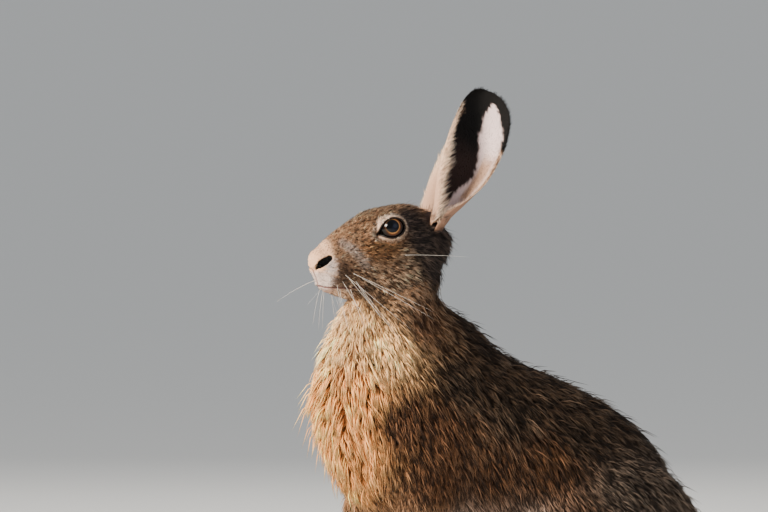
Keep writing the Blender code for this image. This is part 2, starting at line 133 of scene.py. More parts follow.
# Feet: how far ahead each forepaw stands, where the fore and hind feet's fronts and middles are, then
# each toe's place across its foot and its reach, and how high the claws start
AHEAD = {"left": 0, "right": -15}
FORE_FRONT, FORE_ASIDE, HIND_FRONT, HIND_ASIDE = -134, 27, -4, 65
FORE_TOES = ((-9.6, 8), (-3.3, 13), (3.3, 13), (9.6, 8))
HIND_TOES = ((-13, 10), (-4.4, 17), (4.4, 17), (13, 10))
TOE_HEIGHT = 5
# A claw's path: how far behind its place and how high
CLAW_PATH = ((5, 6), (-1, 5.4), (-4, 4.0), (-5.8, 1.8))

# The skin under the coat
VOXEL = 1.4
# How far the solids swell so that the cuts between them close, how deep the skin lies under the coat
# as a share of the hair's length, and the height of the soles
INFLATE = 0.25
COAT_SHARE = 0.27
SOLE_HEIGHT = 0.4
RELAX_ROUNDS = 6

# Colours of the coat: under fur, band and tip, and the share of hairs with a black tip
DARK_TIP = (0.085, 0.065, 0.055)
TONES = {
    "nose": ((0.84, 0.64, 0.50), (0.93, 0.75, 0.61), (0.95, 0.81, 0.69), 0.02),
    "white": ((0.64, 0.55, 0.52), (0.84, 0.76, 0.72), (0.94, 0.90, 0.87), 0.12),
    "cream": ((0.76, 0.60, 0.48), (0.95, 0.82, 0.70), (0.98, 0.90, 0.81), 0.04),
    "lip": ((0.52, 0.38, 0.34), (0.76, 0.60, 0.54), (0.88, 0.76, 0.69), 0.08),
    "brow": ((0.26, 0.18, 0.13), (0.62, 0.45, 0.32), (0.88, 0.74, 0.59), 0.46),
    "cheek": ((0.24, 0.17, 0.13), (0.56, 0.42, 0.31), (0.84, 0.72, 0.60), 0.46),
    "ring": ((0.60, 0.47, 0.39), (0.85, 0.72, 0.62), (0.94, 0.85, 0.76), 0.10),
    "ochre": ((0.22, 0.14, 0.09), (0.52, 0.35, 0.21), (0.72, 0.55, 0.38), 0.46),
    "grey": ((0.36, 0.31, 0.29), (0.64, 0.58, 0.55), (0.86, 0.82, 0.79), 0.34),
    "pad": ((0.15, 0.105, 0.08), (0.31, 0.22, 0.16), (0.60, 0.48, 0.37), 0.6),
    # Painted shade: a dark tone for the rear side of the head, standing in for shade there
    "shaded_side_of_head": ((0.11, 0.09, 0.09), (0.20, 0.165, 0.155), (0.37, 0.31, 0.28), 0.55),
    # The nape's own black-brown, made darker still as painted shade
    "nape": ((0.12, 0.10, 0.085), (0.25, 0.20, 0.165), (0.42, 0.35, 0.29), 0.55),
    "throat": ((0.72, 0.50, 0.31), (0.97, 0.77, 0.53), (0.99, 0.87, 0.67), 0.0),
    # The neck's own brown, made darker as painted shade on the side away from the key lamp
    "neck": ((0.26, 0.18, 0.13), (0.47, 0.34, 0.25), (0.68, 0.54, 0.43), 0.38),
    "chest": ((0.60, 0.35, 0.17), (0.96, 0.67, 0.39), (0.99, 0.80, 0.55), 0.02),
    # Shoulder, back, flank and rump: their own browns, made darker as painted shade on the side away from
    # the key lamp
    "shoulder": ((0.19, 0.125, 0.085), (0.38, 0.255, 0.17), (0.51, 0.37, 0.265), 0.38),
    "back": ((0.125, 0.10, 0.085), (0.28, 0.22, 0.17), (0.48, 0.40, 0.33), 0.55),
    "flank": ((0.19, 0.125, 0.09), (0.37, 0.25, 0.165), (0.48, 0.355, 0.255), 0.4),
    "rump": ((0.18, 0.155, 0.14), (0.34, 0.29, 0.25), (0.49, 0.435, 0.38), 0.45),
    "belly": ((0.76, 0.69, 0.63), (0.92, 0.87, 0.82), (0.96, 0.93, 0.89), 0.0),
    "buff": ((0.30, 0.23, 0.19), (0.50, 0.40, 0.34), (0.64, 0.54, 0.47), 0.1),
    "leg": ((0.28, 0.19, 0.13), (0.52, 0.38, 0.27), (0.68, 0.54, 0.42), 0.06),
    "foot": ((0.36, 0.27, 0.20), (0.60, 0.48, 0.37), (0.74, 0.63, 0.51), 0.04),
    "black": ((0.02, 0.015, 0.015), (0.035, 0.03, 0.03), (0.06, 0.05, 0.05), 0.3),
    # Painted shade: the dark inside an ear's hollow, also laid where each ear meets the head
    "hollow": ((0.13, 0.09, 0.08), (0.19, 0.14, 0.13), (0.27, 0.20, 0.19), 0.2),
    "pink": ((0.84, 0.72, 0.72), (0.92, 0.84, 0.83), (0.96, 0.90, 0.88), 0.0),
    "tan": ((0.60, 0.46, 0.38), (0.80, 0.65, 0.55), (0.88, 0.75, 0.65), 0.25),
    "ear": ((0.42, 0.30, 0.24), (0.80, 0.62, 0.52), (0.90, 0.76, 0.67), 0.24),
}

# How the coat lies: place, way it lies, hair length, how steeply it stands and tone.
# Places off the middle plane are mirrored to the other side.
COAT = [
    # nose, bridge and crown
    ((-168, 0, 331), (0.35, 0, 0.94), 1.5, 20, "nose"),
    ((-160, 8, 337), (0.7, 0.3, 0.5), 1.6, 20, "nose"),
    ((-156, 0, 343), (0.85, 0, 0.5), 2.0, 20, "nose"),
    ((-147, 0, 350), (0.85, 0, 0.5), 2.6, 22, "brow"),
    ((-145, 9, 346), (0.9, 0.1, 0.4), 2.6, 22, "brow"),
    ((-120, 0, 367), (0.92, 0, 0.38), 4.0, 20, "brow"),
    ((-98, 0, 377), (1, 0, 0.1), 5.0, 22, "brow"),
    ((-76, 0, 376), (0.95, 0, -0.3), 6.5, 24, "brow"),
    ((-56, 0, 353), (0.45, 0, -0.9), 9.0, 24, "nape"),
    # muzzle, chin and cheek
    ((-144, 13.5, 338), (0.92, 0.15, 0), 2.8, 22, "cheek"),
    ((-134, 17, 332), (0.95, 0.15, -0.1), 3.4, 22, "cheek"),
    ((-128, 14, 353), (0.92, 0.1, 0.3), 3.6, 20, "brow"),
    ((-150, 13, 322), (0.7, 0.3, -0.3), 2.0, 20, "pad"),
    ((-143, 15.5, 329), (0.9, 0.15, -0.3), 2.6, 22, "pad"),
    ((-138, 17.5, 323), (0.9, 0.15, -0.35), 2.8, 22, "pad"),
    ((-131, 19.5, 314), (0.85, 0.2, -0.5), 4.0, 24, "cheek"),
    ((-123, 18, 306), (0.6, 0.2, -0.8), 6.0, 26, "pad"),
    ((-161, 6, 318), (0.5, 0.5, -0.6), 1.7, 20, "white"),
    ((-158, 6, 306), (0.85, 0.2, -0.4), 2.0, 20, "lip"),
    ((-146, 11, 302), (0.9, 0.1, -0.4), 3.5, 22, "cream"),
    ((-118, 23, 320), (0.9, 0.15, -0.35), 5.0, 22, "cheek"),
    ((-122, 19, 342), (0.95, 0.1, -0.1), 3.8, 22, "ochre"),
    ((-107, 24, 341), (0.95, 0.1, -0.15), 4.2, 22, "ochre"),
    ((-100, 26, 336), (0.95, 0.1, -0.2), 5.0, 20, "cheek"),
    ((-98, 29, 318), (0.8, 0.1, -0.6), 6.5, 22, "cheek"),
    # Behind the cheek, the painted shade tone of the head's rear side
    ((-86, 25, 346), (0.95, 0.1, -0.15), 5.0, 20, "shaded_side_of_head"),
    ((-76, 28, 328), (0.7, 0.1, -0.7), 8.0, 22, "shaded_side_of_head"),
    ((-100, 18, 299), (0.6, 0.1, -0.8), 8.0, 24, "cheek"),
    ((-112, 13, 371), (0.95, 0.1, 0.2), 4.0, 20, "brow"),
    # Behind the eye and down to the neck, the painted shade tone of the head's rear side
    ((-90, 20, 367), (0.9, 0.1, -0.1), 5.0, 20, "shaded_side_of_head"),
    ((-66, 26, 350), (0.6, 0.1, -0.8), 7.0, 22, "shaded_side_of_head"),
    # throat and neck
    ((-116, 0, 298), (0.4, 0, -0.9), 8.0, 26, "throat"),
    ((-126, 14, 290), (0.1, 0.05, -1), 11, 26, "throat"),
    ((-137, 0, 270), (-0.15, 0, -1), 16, 30, "throat"),
    ((-120, 30, 268), (0.3, 0.1, -0.95), 14, 26, "throat"),
    ((-88, 35, 288), (0.4, 0.05, -0.9), 12, 24, "neck"),
    ((-52, 28, 312), (0.45, 0, -0.9), 15, 30, "nape"),
    ((-45, 0, 322), (0.5, 0, -0.88), 16, 32, "nape"),
    ((-28, 25, 282), (0.6, 0, -0.8), 14, 24, "nape"),
    # chest and shoulder
    ((-152, 0, 235), (-0.45, 0, -0.9), 21, 40, "chest"),
    ((-140, 32, 235), (0.2, 0.15, -0.97), 19, 32, "chest"),
    ((-159, 0, 200), (-0.35, 0, -0.95), 21, 38, "chest"),
    ((-145, 34, 200), (0.25, 0.1, -0.97), 18, 30, "chest"),
    ((-150, 0, 165), (0.1, 0, -1), 18, 30, "chest"),
    ((-112, 46, 215), (0.2, 0.1, -1), 16, 26, "shoulder"),
    ((-80, 53, 205), (0.4, 0, -0.92), 14, 24, "shoulder"),
    ((-82, 52, 165), (0.3, 0, -0.95), 11, 22, "shoulder"),
    ((-60, 46, 242), (0.5, 0, -0.87), 15, 24, "back"),
    # forelegs
    ((-88, 45, 130), (0.2, 0, -1), 8, 22, "leg"),
    ((-98, 36, 95), (0, 0, -1), 6, 20, "leg"),
    ((-104, 36, 50), (-0.1, 0, -1), 5, 20, "leg"),
    ((-100, 17, 80), (0, 0, -1), 6, 20, "foot"),
    ((-118, 27, 20), (-0.9, 0, -0.4), 4.5, 18, "foot"),
    ((-132, 27, 8), (-0.95, 0, -0.3), 3.5, 16, "foot"),
    # back and flank
    ((0, 0, 266), (0.88, 0, -0.47), 14, 24, "back"),
    ((45, 0, 246), (0.85, 0, -0.5), 14, 24, "back"),
    ((85, 22, 218), (0.75, 0, -0.65), 14, 24, "back"),
    ((122, 0, 192), (0.6, 0, -0.8), 15, 24, "rump"),
    ((146, 20, 150), (0.4, 0, -0.9), 15, 24, "rump"),
    ((150, 0, 120), (0.5, 0, -0.85), 13, 24, "rump"),
    ((146, 34, 96), (0.5, 0.1, -0.85), 12, 24, "rump"),
    ((-15, 50, 222), (0.45, 0, -0.9), 15, 24, "back"),
    ((40, 52, 205), (0.55, 0, -0.85), 15, 24, "back"),
    ((12, 58, 178), (0.4, 0, -0.92), 15, 24, "flank"),
    ((-32, 54, 168), (0.4, 0, -0.92), 15, 24, "flank"),
    ((-32, 48, 130), (0.5, 0, -0.85), 14, 24, "buff"),
    ((-15, 30, 100), (0.7, 0, -0.7), 13, 24, "belly"),
    ((15, 0, 75), (0.9, 0, -0.3), 12, 24, "belly"),
    ((-60, 0, 118), (0.5, 0, -0.85), 12, 24, "belly"),
    # thighs, hind legs and feet
    ((76, 68, 155), (0.6, 0, -0.8), 13, 24, "rump"),
    ((38, 72, 115), (0.45, 0, -0.9), 12, 22, "flank"),
    ((104, 70, 108), (0.6, 0, -0.8), 12, 22, "rump"),
    ((14, 66, 75), (0.2, 0, -0.98), 9, 20, "leg"),
    ((62, 70, 62), (0.5, 0, -0.87), 9, 20, "flank"),
    ((112, 68, 62), (0.6, 0, -0.8), 9, 20, "rump"),
    ((122, 66, 34), (0.6, 0, -0.8), 7, 20, "leg"),
    ((40, 66, 14), (-1, 0, -0.15), 5, 18, "foot"),
    ((5, 65, 10), (-1, 0, -0.2), 4, 16, "foot"),
    ((135, 55, 12), (0.3, 0, -0.9), 6, 18, "foot"),
    # tail
    ((166, 0, 94), (0.7, 0, -0.7), 13, 28, "black"),
    ((186, 0, 64), (0.5, 0, -0.87), 12, 28, "black"),
    ((172, 19, 68), (0.5, 0.1, -0.87), 13, 28, "belly"),
    ((160, 0, 60), (0.5, 0, -0.8), 14, 28, "belly"),
]

rng = np.random.default_rng(SEED)
FEWER = 1.0


def linear(colour):
    """A display colour as linear light."""
    colour = np.asarray(colour, float)
    return np.where(colour <= 0.04045, colour / 12.92, ((colour + 0.055) / 1.055) ** 2.4)


def unit(vectors):
    vectors = np.asarray(vectors, float)
    return vectors / np.maximum(np.linalg.norm(vectors, axis=-1, keepdims=True), 1e-9)


def smooth_step(low, high, value):
    share = np.clip((np.asarray(value, float) - low) / (high - low), 0, 1)
    return share * share * (3 - 2 * share)


# Where the drawing frame's origin is in the world, from the middle of one eye
low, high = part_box("eye_right")
SHIFT = (np.array(low) + np.array(high)) / 2 - np.array(EYE_CENTRE) * MM


def world(points):
    return np.asarray(points, float) * MM + SHIFT


def drawn(points):
    return (np.asarray(points, float) - SHIFT) / MM


def hump(value, middle, width, height):
    """A smooth rise, or a dip where the height is below 0, round a middle value."""
    return height * np.exp(-(((value - middle) / width) ** 2))


def read(items, name, width, kind=np.float32):
    values = np.empty(len(items) * width, kind)
    items.foreach_get(name, values)
    return values.reshape(-1, width)


def row_points(rows, steps):
    """The rows with smooth in-between rows on a Catmull-Rom curve."""
    rows = np.array(rows, float)
    ends = np.vstack([2 * rows[0] - rows[1], rows, 2 * rows[-1] - rows[-2]])
    made = []
    for a, b, c, d in zip(ends, ends[1:], ends[2:], ends[3:]):
        for t in np.arange(steps) / steps:
            bend = (2 * a - 5 * b + 4 * c - d) * t**2 + (3 * b - a - 3 * c + d) * t**3
            made.append(b + 0.5 * ((c - a) * t + bend))
    return np.array(made + [rows[-1]])


# Meshes and materials

DRY_ROUGHNESS, WET_ROUGHNESS = 0.85, 0.3


def new_mesh(name, points, face_sets):
    """A mesh from points in millimetres and arrays of faces with three or four corners."""
    mesh = bpy.data.meshes.new(name)
    loops = np.concatenate([np.asarray(faces).ravel() for faces in face_sets])
    sizes = np.concatenate([np.full(len(faces), np.asarray(faces).shape[1]) for faces in face_sets])
    mesh.vertices.add(len(points))
    mesh.vertices.foreach_set("co", world(points).astype(np.float32).ravel())
    mesh.loops.add(len(loops))
    mesh.loops.foreach_set("vertex_index", loops.astype(np.int32))
    mesh.polygons.add(len(sizes))
    mesh.polygons.foreach_set("loop_start", (np.cumsum(sizes) - sizes).astype(np.int32))
    mesh.polygons.foreach_set("use_smooth", np.ones(len(sizes), bool))
    mesh.update(calc_edges=True)
    return mesh


def set_values(mesh, name, values):
    """A number or a colour for each point."""
    values = np.asarray(values, np.float32)
    if values.ndim == 1:
        mesh.attributes.new(name, "FLOAT", "POINT").data.foreach_set("value", values)
    else:
        colours = np.hstack([values, np.ones((len(values), 1), np.float32)])
        mesh.color_attributes.new(name, "FLOAT_COLOR", "POINT").data.foreach_set("color", colours.ravel())


def placed(name, data):
    """A new object in the scene."""
    obj = bpy.data.objects.new(name, data)
    bpy.context.scene.collection.objects.link(obj)
    return obj


def piece(mesh, material):
    obj = placed(mesh.name, mesh)
    mesh.materials.append(material)
    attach(obj, "root")
    return obj


def shader(name, **sockets):
    """A material and its Principled shader, with some of the shader's sockets set."""
    material = bpy.data.materials.new(name)
    material.use_nodes = True
    bsdf = material.node_tree.nodes["Principled BSDF"]
    for socket, value in sockets.items():
        bsdf.inputs[socket.replace("_", " ")].default_value = value
    return material, bsdf


def node(tree, kind, inputs, **settings):
    """A node whose inputs are each a value or the output that feeds it."""
    made = tree.nodes.new("ShaderNode" + kind)
    for name, value in settings.items():
        setattr(made, name, value)
    for name, value in inputs.items():
        if isinstance(value, bpy.types.NodeSocket):
            tree.links.new(value, made.inputs[name])
        else:
            made.inputs[name].default_value = value
    return made


def attribute(tree, name, output="Fac"):
    return node(tree, "Attribute", {}, attribute_name=name).outputs[output]


def spread(tree, value, low, high):
    """A value from 0 to 1, spread from low to high."""
    return node(tree, "MapRange", {"Value": value, "To Min": low, "To Max": high}).outputs["Result"]


def multiplied(tree, colour, factor):
    inputs = {"Factor": 1.0, "A": colour, "B": factor}
    return node(tree, "Mix", inputs, data_type="RGBA", blend_type="MULTIPLY").outputs["Result"]


def mottled(name, colour, fineness, low, high, **sockets):
    """A material of one colour, or of the markings, with noise over it; also its shader and noise."""
    material, bsdf = shader(name, **sockets)
    tree = material.node_tree
    if colour is None:
        base = attribute(tree, "marking", "Color")
    else:
        base = node(tree, "RGB", {}).outputs[0]
        base.default_value = (*colour, 1)
    place = node(tree, "TexCoord", {}).outputs["Object"]
    noise = node(tree, "TexNoise", {"Vector": place, "Scale": fineness, "Detail": 3.0}).outputs["Fac"]
    mixed = multiplied(tree, base, spread(tree, noise, low, high))
    tree.links.new(mixed, bsdf.inputs["Base Color"])
    return material, bsdf, noise


def skin_material():
    material, bsdf, noise = mottled("skin", None, 1400, 0.8, 1.2, Specular_IOR_Level=0.22)
    tree = material.node_tree
    roughness = spread(tree, attribute(tree, "wet"), DRY_ROUGHNESS, WET_ROUGHNESS)
    tree.links.new(roughness, bsdf.inputs["Roughness"])
    bump = node(tree, "Bump", {"Strength": 0.3, "Distance": 0.0003, "Height": noise})
    tree.links.new(bump.outputs["Normal"], bsdf.inputs["Normal"])
    return material


# The coat's field: what hair is like at any place

def tone_row(name):
    """A tone as one row: its three colours as linear light and its share of black tips."""
    under, band, tip, dark = TONES[name]
    return np.array([*linear(under), *linear(band), *linear(tip), dark])


def toned(rows, *layers):
    """The rows with tones laid over them in turn, each by a share."""
    for name, share in layers:
        rows = rows + (tone_row(name) - rows) * np.asarray(share)[:, None]
    return rows


def coat_rows():
    rows = []
    for (x, y, z), (along, out, rise), length, lift, tone in COAT:
        for side in (1, -1) if y else (1,):
            rows.append(((x, side * y, z), (along, side * out, rise), length, lift, tone_row(tone)))
    places, lies, lengths, lifts, tones = zip(*rows)
    return np.array(places, float), unit(lies), np.array(lengths), np.array(lifts), np.array(tones)


PLACES, LIES, LENGTHS, LIFTS, TONE_ROWS = coat_rows()
# How far each place's own lie and tone hold, and how fast they give way to the next place's
LIE_SOFT, LIE_POWER = 5.0, 4
TONE_SOFT, TONE_POWER = 5.0, 4.5
CHUNK = 20000


def blended(points, values, soft, power):
    """Values at the coat's places, blended at other points by how near each place is."""
    points = np.asarray(points, float)
    made = np.empty((len(points), values.shape[1]))
    for start in range(0, len(points), CHUNK):
        part = points[start:start + CHUNK]
        apart = ((part[:, None] - PLACES[None]) ** 2).sum(axis=2) + soft**2
        weight = apart ** (-power / 2)
        made[start:start + CHUNK] = weight @ values / weight.sum(axis=1)[:, None]
    return made


def hair_at(points):
    """The lie, length and lift of the hair at each point."""
    made = blended(points, np.column_stack([LIES, LENGTHS, LIFTS]), LIE_SOFT, LIE_POWER)
    return unit(made[:, :3]), made[:, 3], made[:, 4]


# Features of the face

# A distance past every feature, and how far from an eye its lids and ring matter
FAR = 99.0
EYE_NEAR = 32


def eye_axes(side):
    """An eye's centre, its gaze, and the ways back and up across the gaze, turned with the lids."""
    gaze = Vector((EYE_GAZE[0], side * EYE_GAZE[1], EYE_GAZE[2])).normalized()
    back = Vector((1, 0, 0)) - gaze * gaze.x
    back = Matrix.Rotation(-side * math.radians(LID_TILT), 3, gaze) @ back.normalized()
    centre = np.array((EYE_CENTRE[0], side * EYE_CENTRE[1], EYE_CENTRE[2]), float)
    up = back.cross(gaze) * side
    return centre, np.array(gaze), np.array(back), np.array(up)


def almond():
    """The outline between the lids, across the gaze: back and up, pointed at the front."""
    turn = np.linspace(0, 2 * math.pi, EYE_SIDES, endpoint=False)
    along = np.cos(turn)
    back = along * np.where(along > 0, LID_REAR, LID_FRONT)
    up = LID_HIGH * np.sin(turn) * np.where(along > 0, 1, np.abs(np.sin(turn)) ** LID_POINT)
    return np.column_stack([back, up - LID_DROP])


def across_gaze(points, side):
    """Points from an eye's centre, flat across its gaze, and how far along it they are."""
    centre, gaze, back, up = eye_axes(side)
    from_centre = points - centre
    flat = np.column_stack([from_centre @ back, from_centre @ up])
    return flat, from_centre @ gaze, np.linalg.norm(from_centre, axis=1)


def outline_measure(points, outline):
    """How far flat points lie outside a closed outline, below 0 inside, and their nearest points on it."""
    start, end = outline, np.roll(outline, -1, axis=0)
    step = end - start
    apart = points[:, None] - start[None]
    share = np.clip((apart * step).sum(axis=2) / (step**2).sum(axis=1), 0, 1)
    near = start[None] + share[..., None] * step[None]
    gap = np.linalg.norm(points[:, None] - near, axis=2)
    best = gap.argmin(axis=1)
    rows = np.arange(len(points))
    cross = (start[None, :, 1] > points[:, 1:2]) != (end[None, :, 1] > points[:, 1:2])
    with np.errstate(divide="ignore", invalid="ignore"):
        reach = start[:, 0] + (points[:, 1:2] - start[:, 1]) / step[:, 1] * step[:, 0]
    inside = (cross & (points[:, 0:1] < reach)).sum(axis=1) % 2 == 1
    return np.where(inside, -gap[rows, best], gap[rows, best]), near[rows, best]


def eye_measure(points):
    """How far points lie outside the nearer eye's almond, seen along its gaze, and how far ahead and up."""
    measure, ahead = np.full(len(points), FAR), np.zeros(len(points))
    for side in SIDES.values():
        flat, depth, reach = across_gaze(points, side)
        close = (reach < EYE_NEAR) & (depth > 0)
        flat = flat[close]
        if len(flat):
            measure[close] = outline_measure(flat, almond())[0]
            ahead[close] = flat[:, 1] - 0.6 * flat[:, 0]
    return measure, ahead


def line_measure(points, line, surface=None):
    """Each point's distance to a line, mirrored and laid on a surface, and the share along it."""
    folded = np.column_stack([points[:, 0], np.abs(points[:, 1]), points[:, 2]])
    line = row_points(line, 4)
    if surface:
        line = np.array([surface.find_nearest(place)[0] for place in line.tolist()])
    best, share = np.full(len(points), FAR), np.zeros(len(points))
    for index, (start, end) in enumerate(zip(line, line[1:])):
        step = end - start
        along = np.clip((folded - start) @ step / (step @ step), 0, 1)
        gap = np.linalg.norm(folded - start - along[:, None] * step, axis=1)
        nearer = gap < best
        best[nearer] = gap[nearer]
        share[nearer] = (index + along[nearer]) / (len(line) - 1)
    return best, share


def nostril_measure(points, surface=None):
    """Distance to the nostril's line as a share of the slit's half width there."""
    gap, share = line_measure(points, NOSTRIL, surface)
    half = NOSTRIL_HALF * (0.3 + 0.7 * smooth_step(0, 0.6, share)) * (1 - 0.3 * smooth_step(0.75, 1, share))
    return gap / half


def mouth_measure(points, surface=None):
    return np.minimum(line_measure(points, MOUTH, surface)[0], line_measure(points, PHILTRUM, surface)[0])


# Markings shared by skin and coat

# Edges of the head's markings as where each begins and where it is full: how far ahead, or how high
HEAD_FROM = 290
NOSE_REAR, NOSE_FOOT = (-150, -154.5), (321, 325)
WHITE_REAR, WHITE_FRONT, WHITE_TOP, WHITE_FOOT = (-147.5, -153), (-160, -156), (337, 332), (320, 325)
MOUTH_REAR, MOUTH_TOP, MOUTH_FOOT = (-149, -158), (326, 322), (307, 311)
STREAK_EDGE, STREAK_SHARE = (6, 1), 0.6
# The pale ring round the eye: its width, how much wider it is ahead, and its soft edge
RING_WIDTH, RING_AHEAD, RING_SOFT = LID_RIM + 0.9, 3.6, (2.6, -1.8)


def markings(points):
    """Under fur, band and tip colour and the share of black tips at points of the body."""
    x, y, z = points.T
    eye, ahead = eye_measure(points)
    width = RING_WIDTH + RING_AHEAD * smooth_step(-3, 7, ahead) * smooth_step(20, 9, ahead)
    ragged = 0.9 * np.sin(x * 2.3 + 2 * np.sin(z * 1.7)) * smooth_step(0, 4, width - LID_RIM)
    ring = smooth_step(width + RING_SOFT[0], width + RING_SOFT[1], eye + ragged)
    streak = smooth_step(*STREAK_EDGE, line_measure(points, STREAK)[0])
    nose = smooth_step(*NOSE_REAR, x + 0.1 * (z - 342)) * smooth_step(*NOSE_FOOT, z + 0.3 * (x + 158))
    x = x + 1.3 * np.sin(1.9 * z + 2.1 * np.sin(1.3 * y + 0.9 * x))
    white = smooth_step(*WHITE_REAR, x) * smooth_step(*WHITE_FRONT, x) * smooth_step(*WHITE_TOP, z)
    mouth = smooth_step(*MOUTH_REAR, x) * smooth_step(*MOUTH_TOP, z)
    white = np.maximum(white * smooth_step(*WHITE_FOOT, z), mouth) * smooth_step(*MOUTH_FOOT, z)
    on_head = z > HEAD_FROM
    # Where each ear's stub meets the head, the hollow tone is laid as painted shade
    return toned(blended(points, TONE_ROWS, TONE_SOFT, TONE_POWER),
                 ("ring", ring * on_head), ("grey", streak * STREAK_SHARE), ("nose", nose * on_head),
                 ("white", white * on_head), ("hollow", ear_stub(points)[0]))


# The skin

def joined(parts):
    """Many parts as one; each part is its points and one or more arrays of its faces."""
    first = np.cumsum([0] + [len(part[0]) for part in parts])
    points, *face_sets = zip(*parts)
    return np.vstack(points), *(np.vstack([f + n for f, n in zip(faces, first)]) for faces in face_sets)


def face_normals(points, faces):
    """Each triangle's normal, as long as twice its area."""
    a, b, c = (points[faces[:, corner]] for corner in range(3))
    return np.cross(b - a, c - a)


def normals_of(points, faces):
    across = face_normals(points, faces)
    total = np.zeros_like(points)
    for axis in range(3):
        for corner in range(3):
            total[:, axis] += np.bincount(faces[:, corner], across[:, axis], len(points))
    return unit(total)


def flesh_surface():
    """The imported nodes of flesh, each welded, with the node that each face belongs to."""
    parts, owners = [], []
    for index, name in enumerate(FLESH):
        mesh = frame["nodes"][name].data
        mesh.calc_loop_triangles()
        faces = read(mesh.loop_triangles, "vertices", 3, np.int32)
        points = np.round(drawn(read(mesh.vertices, "co", 3)), 2)
        points, same = np.unique(points, axis=0, return_inverse=True)
        parts.append((points, same.ravel()[faces]))
        owners.append(np.full(len(faces), index))
    return *joined(parts), np.concatenate(owners)


def ball(centre, radius):
    bm = bmesh.new()
    bmesh.ops.create_icosphere(bm, subdivisions=4, radius=radius)
    points = np.array([v.co for v in bm.verts]) + centre
    faces = np.array([[v.index for v in f.verts] for f in bm.faces])
    bm.free()
    return points, faces


def remeshed(points, faces):
    """One closed surface of even quads round everything given."""
    mesh = new_mesh("form", points, [faces])
    obj = placed("form", mesh)
    remesh = obj.modifiers.new("remesh", "REMESH")
    remesh.mode = "VOXEL"
    remesh.voxel_size = VOXEL * MM
    bpy.context.view_layer.update()
    made = obj.evaluated_get(bpy.context.evaluated_depsgraph_get()).to_mesh()
    bm = bmesh.new()
    bm.from_mesh(made)
    bpy.data.objects.remove(obj)
    bpy.data.meshes.remove(mesh)
    return bm


def relaxed(points, edges, rounds, weight):
    """Points moved towards the middle of their neighbours, by a weight for each point."""
    count = len(points)
    degree = np.bincount(edges.ravel(), minlength=count)[:, None]
    for _ in range(rounds):
        total = np.zeros_like(points)
        for axis in range(3):
            total[:, axis] = (np.bincount(edges[:, 0], points[edges[:, 1], axis], count)
                              + np.bincount(edges[:, 1], points[edges[:, 0], axis], count))
        points = points + (total / degree - points) * weight
    return points


def arrays_of(bm):
    bm.verts.index_update()
    bmesh.ops.triangulate(bm, faces=bm.faces)
    mesh = bpy.data.meshes.new("arrays")
    bm.to_mesh(mesh)
    points = drawn(read(mesh.vertices, "co", 3))
    edges = read(mesh.edges, "vertices", 2, np.int32)
    faces = read(mesh.polygons, "vertices", 3, np.int32)
    bpy.data.meshes.remove(mesh)
    return points, edges, faces


def refined(bm):
    """The surface with finer faces round the eyes, the nose and the mouth."""
    centres = drawn([f.calc_center_median() for f in bm.faces])
    eye = np.full(len(centres), FAR)
    for side in SIDES.values():
        eye = np.minimum(eye, np.linalg.norm(centres - eye_axes(side)[0], axis=1))
    fine = (eye < 21) | (mouth_measure(centres) < 8) | (nostril_measure(centres) < 3)
    edges = {edge for face, chosen in zip(bm.faces, fine) if chosen for edge in face.edges}
    bmesh.ops.subdivide_edges(bm, edges=list(edges), cuts=1, use_grid_fill=True)


def with_lids(points):
    """Lids closed round each almond, and the surface inside it sunk behind the eye."""
    for side in SIDES.values():
        centre, gaze, back, up = eye_axes(side)
        flat, depth, reach = across_gaze(points, side)
        close = np.flatnonzero((reach < EYE_RADIUS + LID_REACH) & (depth > 0))
        flat, reach = flat[close], reach[close]
        measure, near = outline_measure(flat, almond())
        snap = np.abs(measure) < LID_SNAP
        flat[snap] = near[snap]
        lid = EYE_RADIUS + CORNEA + 0.5 * smooth_step(0.1, 1.2, measure)
        outer = np.maximum(lid, lid + (reach - lid) * smooth_step(0.5, 5, measure))
        wanted = np.where((measure > 0) | snap, outer, EYE_RADIUS - SOCKET_SUNK)
        deep = np.sqrt(np.maximum(wanted**2 - (flat**2).sum(axis=1), 0.5))
        shaped = centre + flat[:, :1] * back + flat[:, 1:] * up + deep[:, None] * gaze
        keep = (measure < 6)[:, None]
        points[close] = np.where(keep, shaped, points[close])
    return points


def with_nose_and_mouth(points, faces, normals):
    """The mouth's groove and the nostrils sunk in, and how far each point lay from them before."""
    surface = BVHTree.FromPolygons(points.tolist(), faces.tolist())
    mouth, nostril = mouth_measure(points, surface), nostril_measure(points, surface)
    groove = hump(mouth, 0, 0.9, -GROOVE_DEEP) + hump(mouth, 2.2, 1.0, LIP_HIGH)
    sink = -NOSTRIL_DEEP * smooth_step(1.05, 0.55, nostril) + hump(nostril, 1.4, 0.3, NOSTRIL_LIP)
    points = points + normals * (groove + sink)[:, None]
    back = UPPER_BACK * smooth_step(328, 319, points[:, 2]) + LIP_BACK * smooth_step(313, 308, points[:, 2])
    points[:, 0] += back * smooth_step(-152, -162, points[:, 0])
    return points, mouth, nostril


def claw_places():
    """Each claw's place seen from above: along the body and across it."""
    for name, side in SIDES.items():
        for across, reach in FORE_TOES:
            yield FORE_FRONT + AHEAD[name] - reach, side * FORE_ASIDE + across
        for across, reach in HIND_TOES:
            yield HIND_FRONT - reach, side * HIND_ASIDE + across


def without_claws(points):
    """The claws of the solids are drawn back into the toes, where fine ones take their place."""
    for x, y in claw_places():
        beside = np.hypot(points[:, 1] - y, points[:, 2] - TOE_HEIGHT)
        near = (beside < 3.2) & (np.abs(points[:, 0] - x + 3) < 4)
        points[near] = (x + 1.5, y, TOE_HEIGHT)
    return points


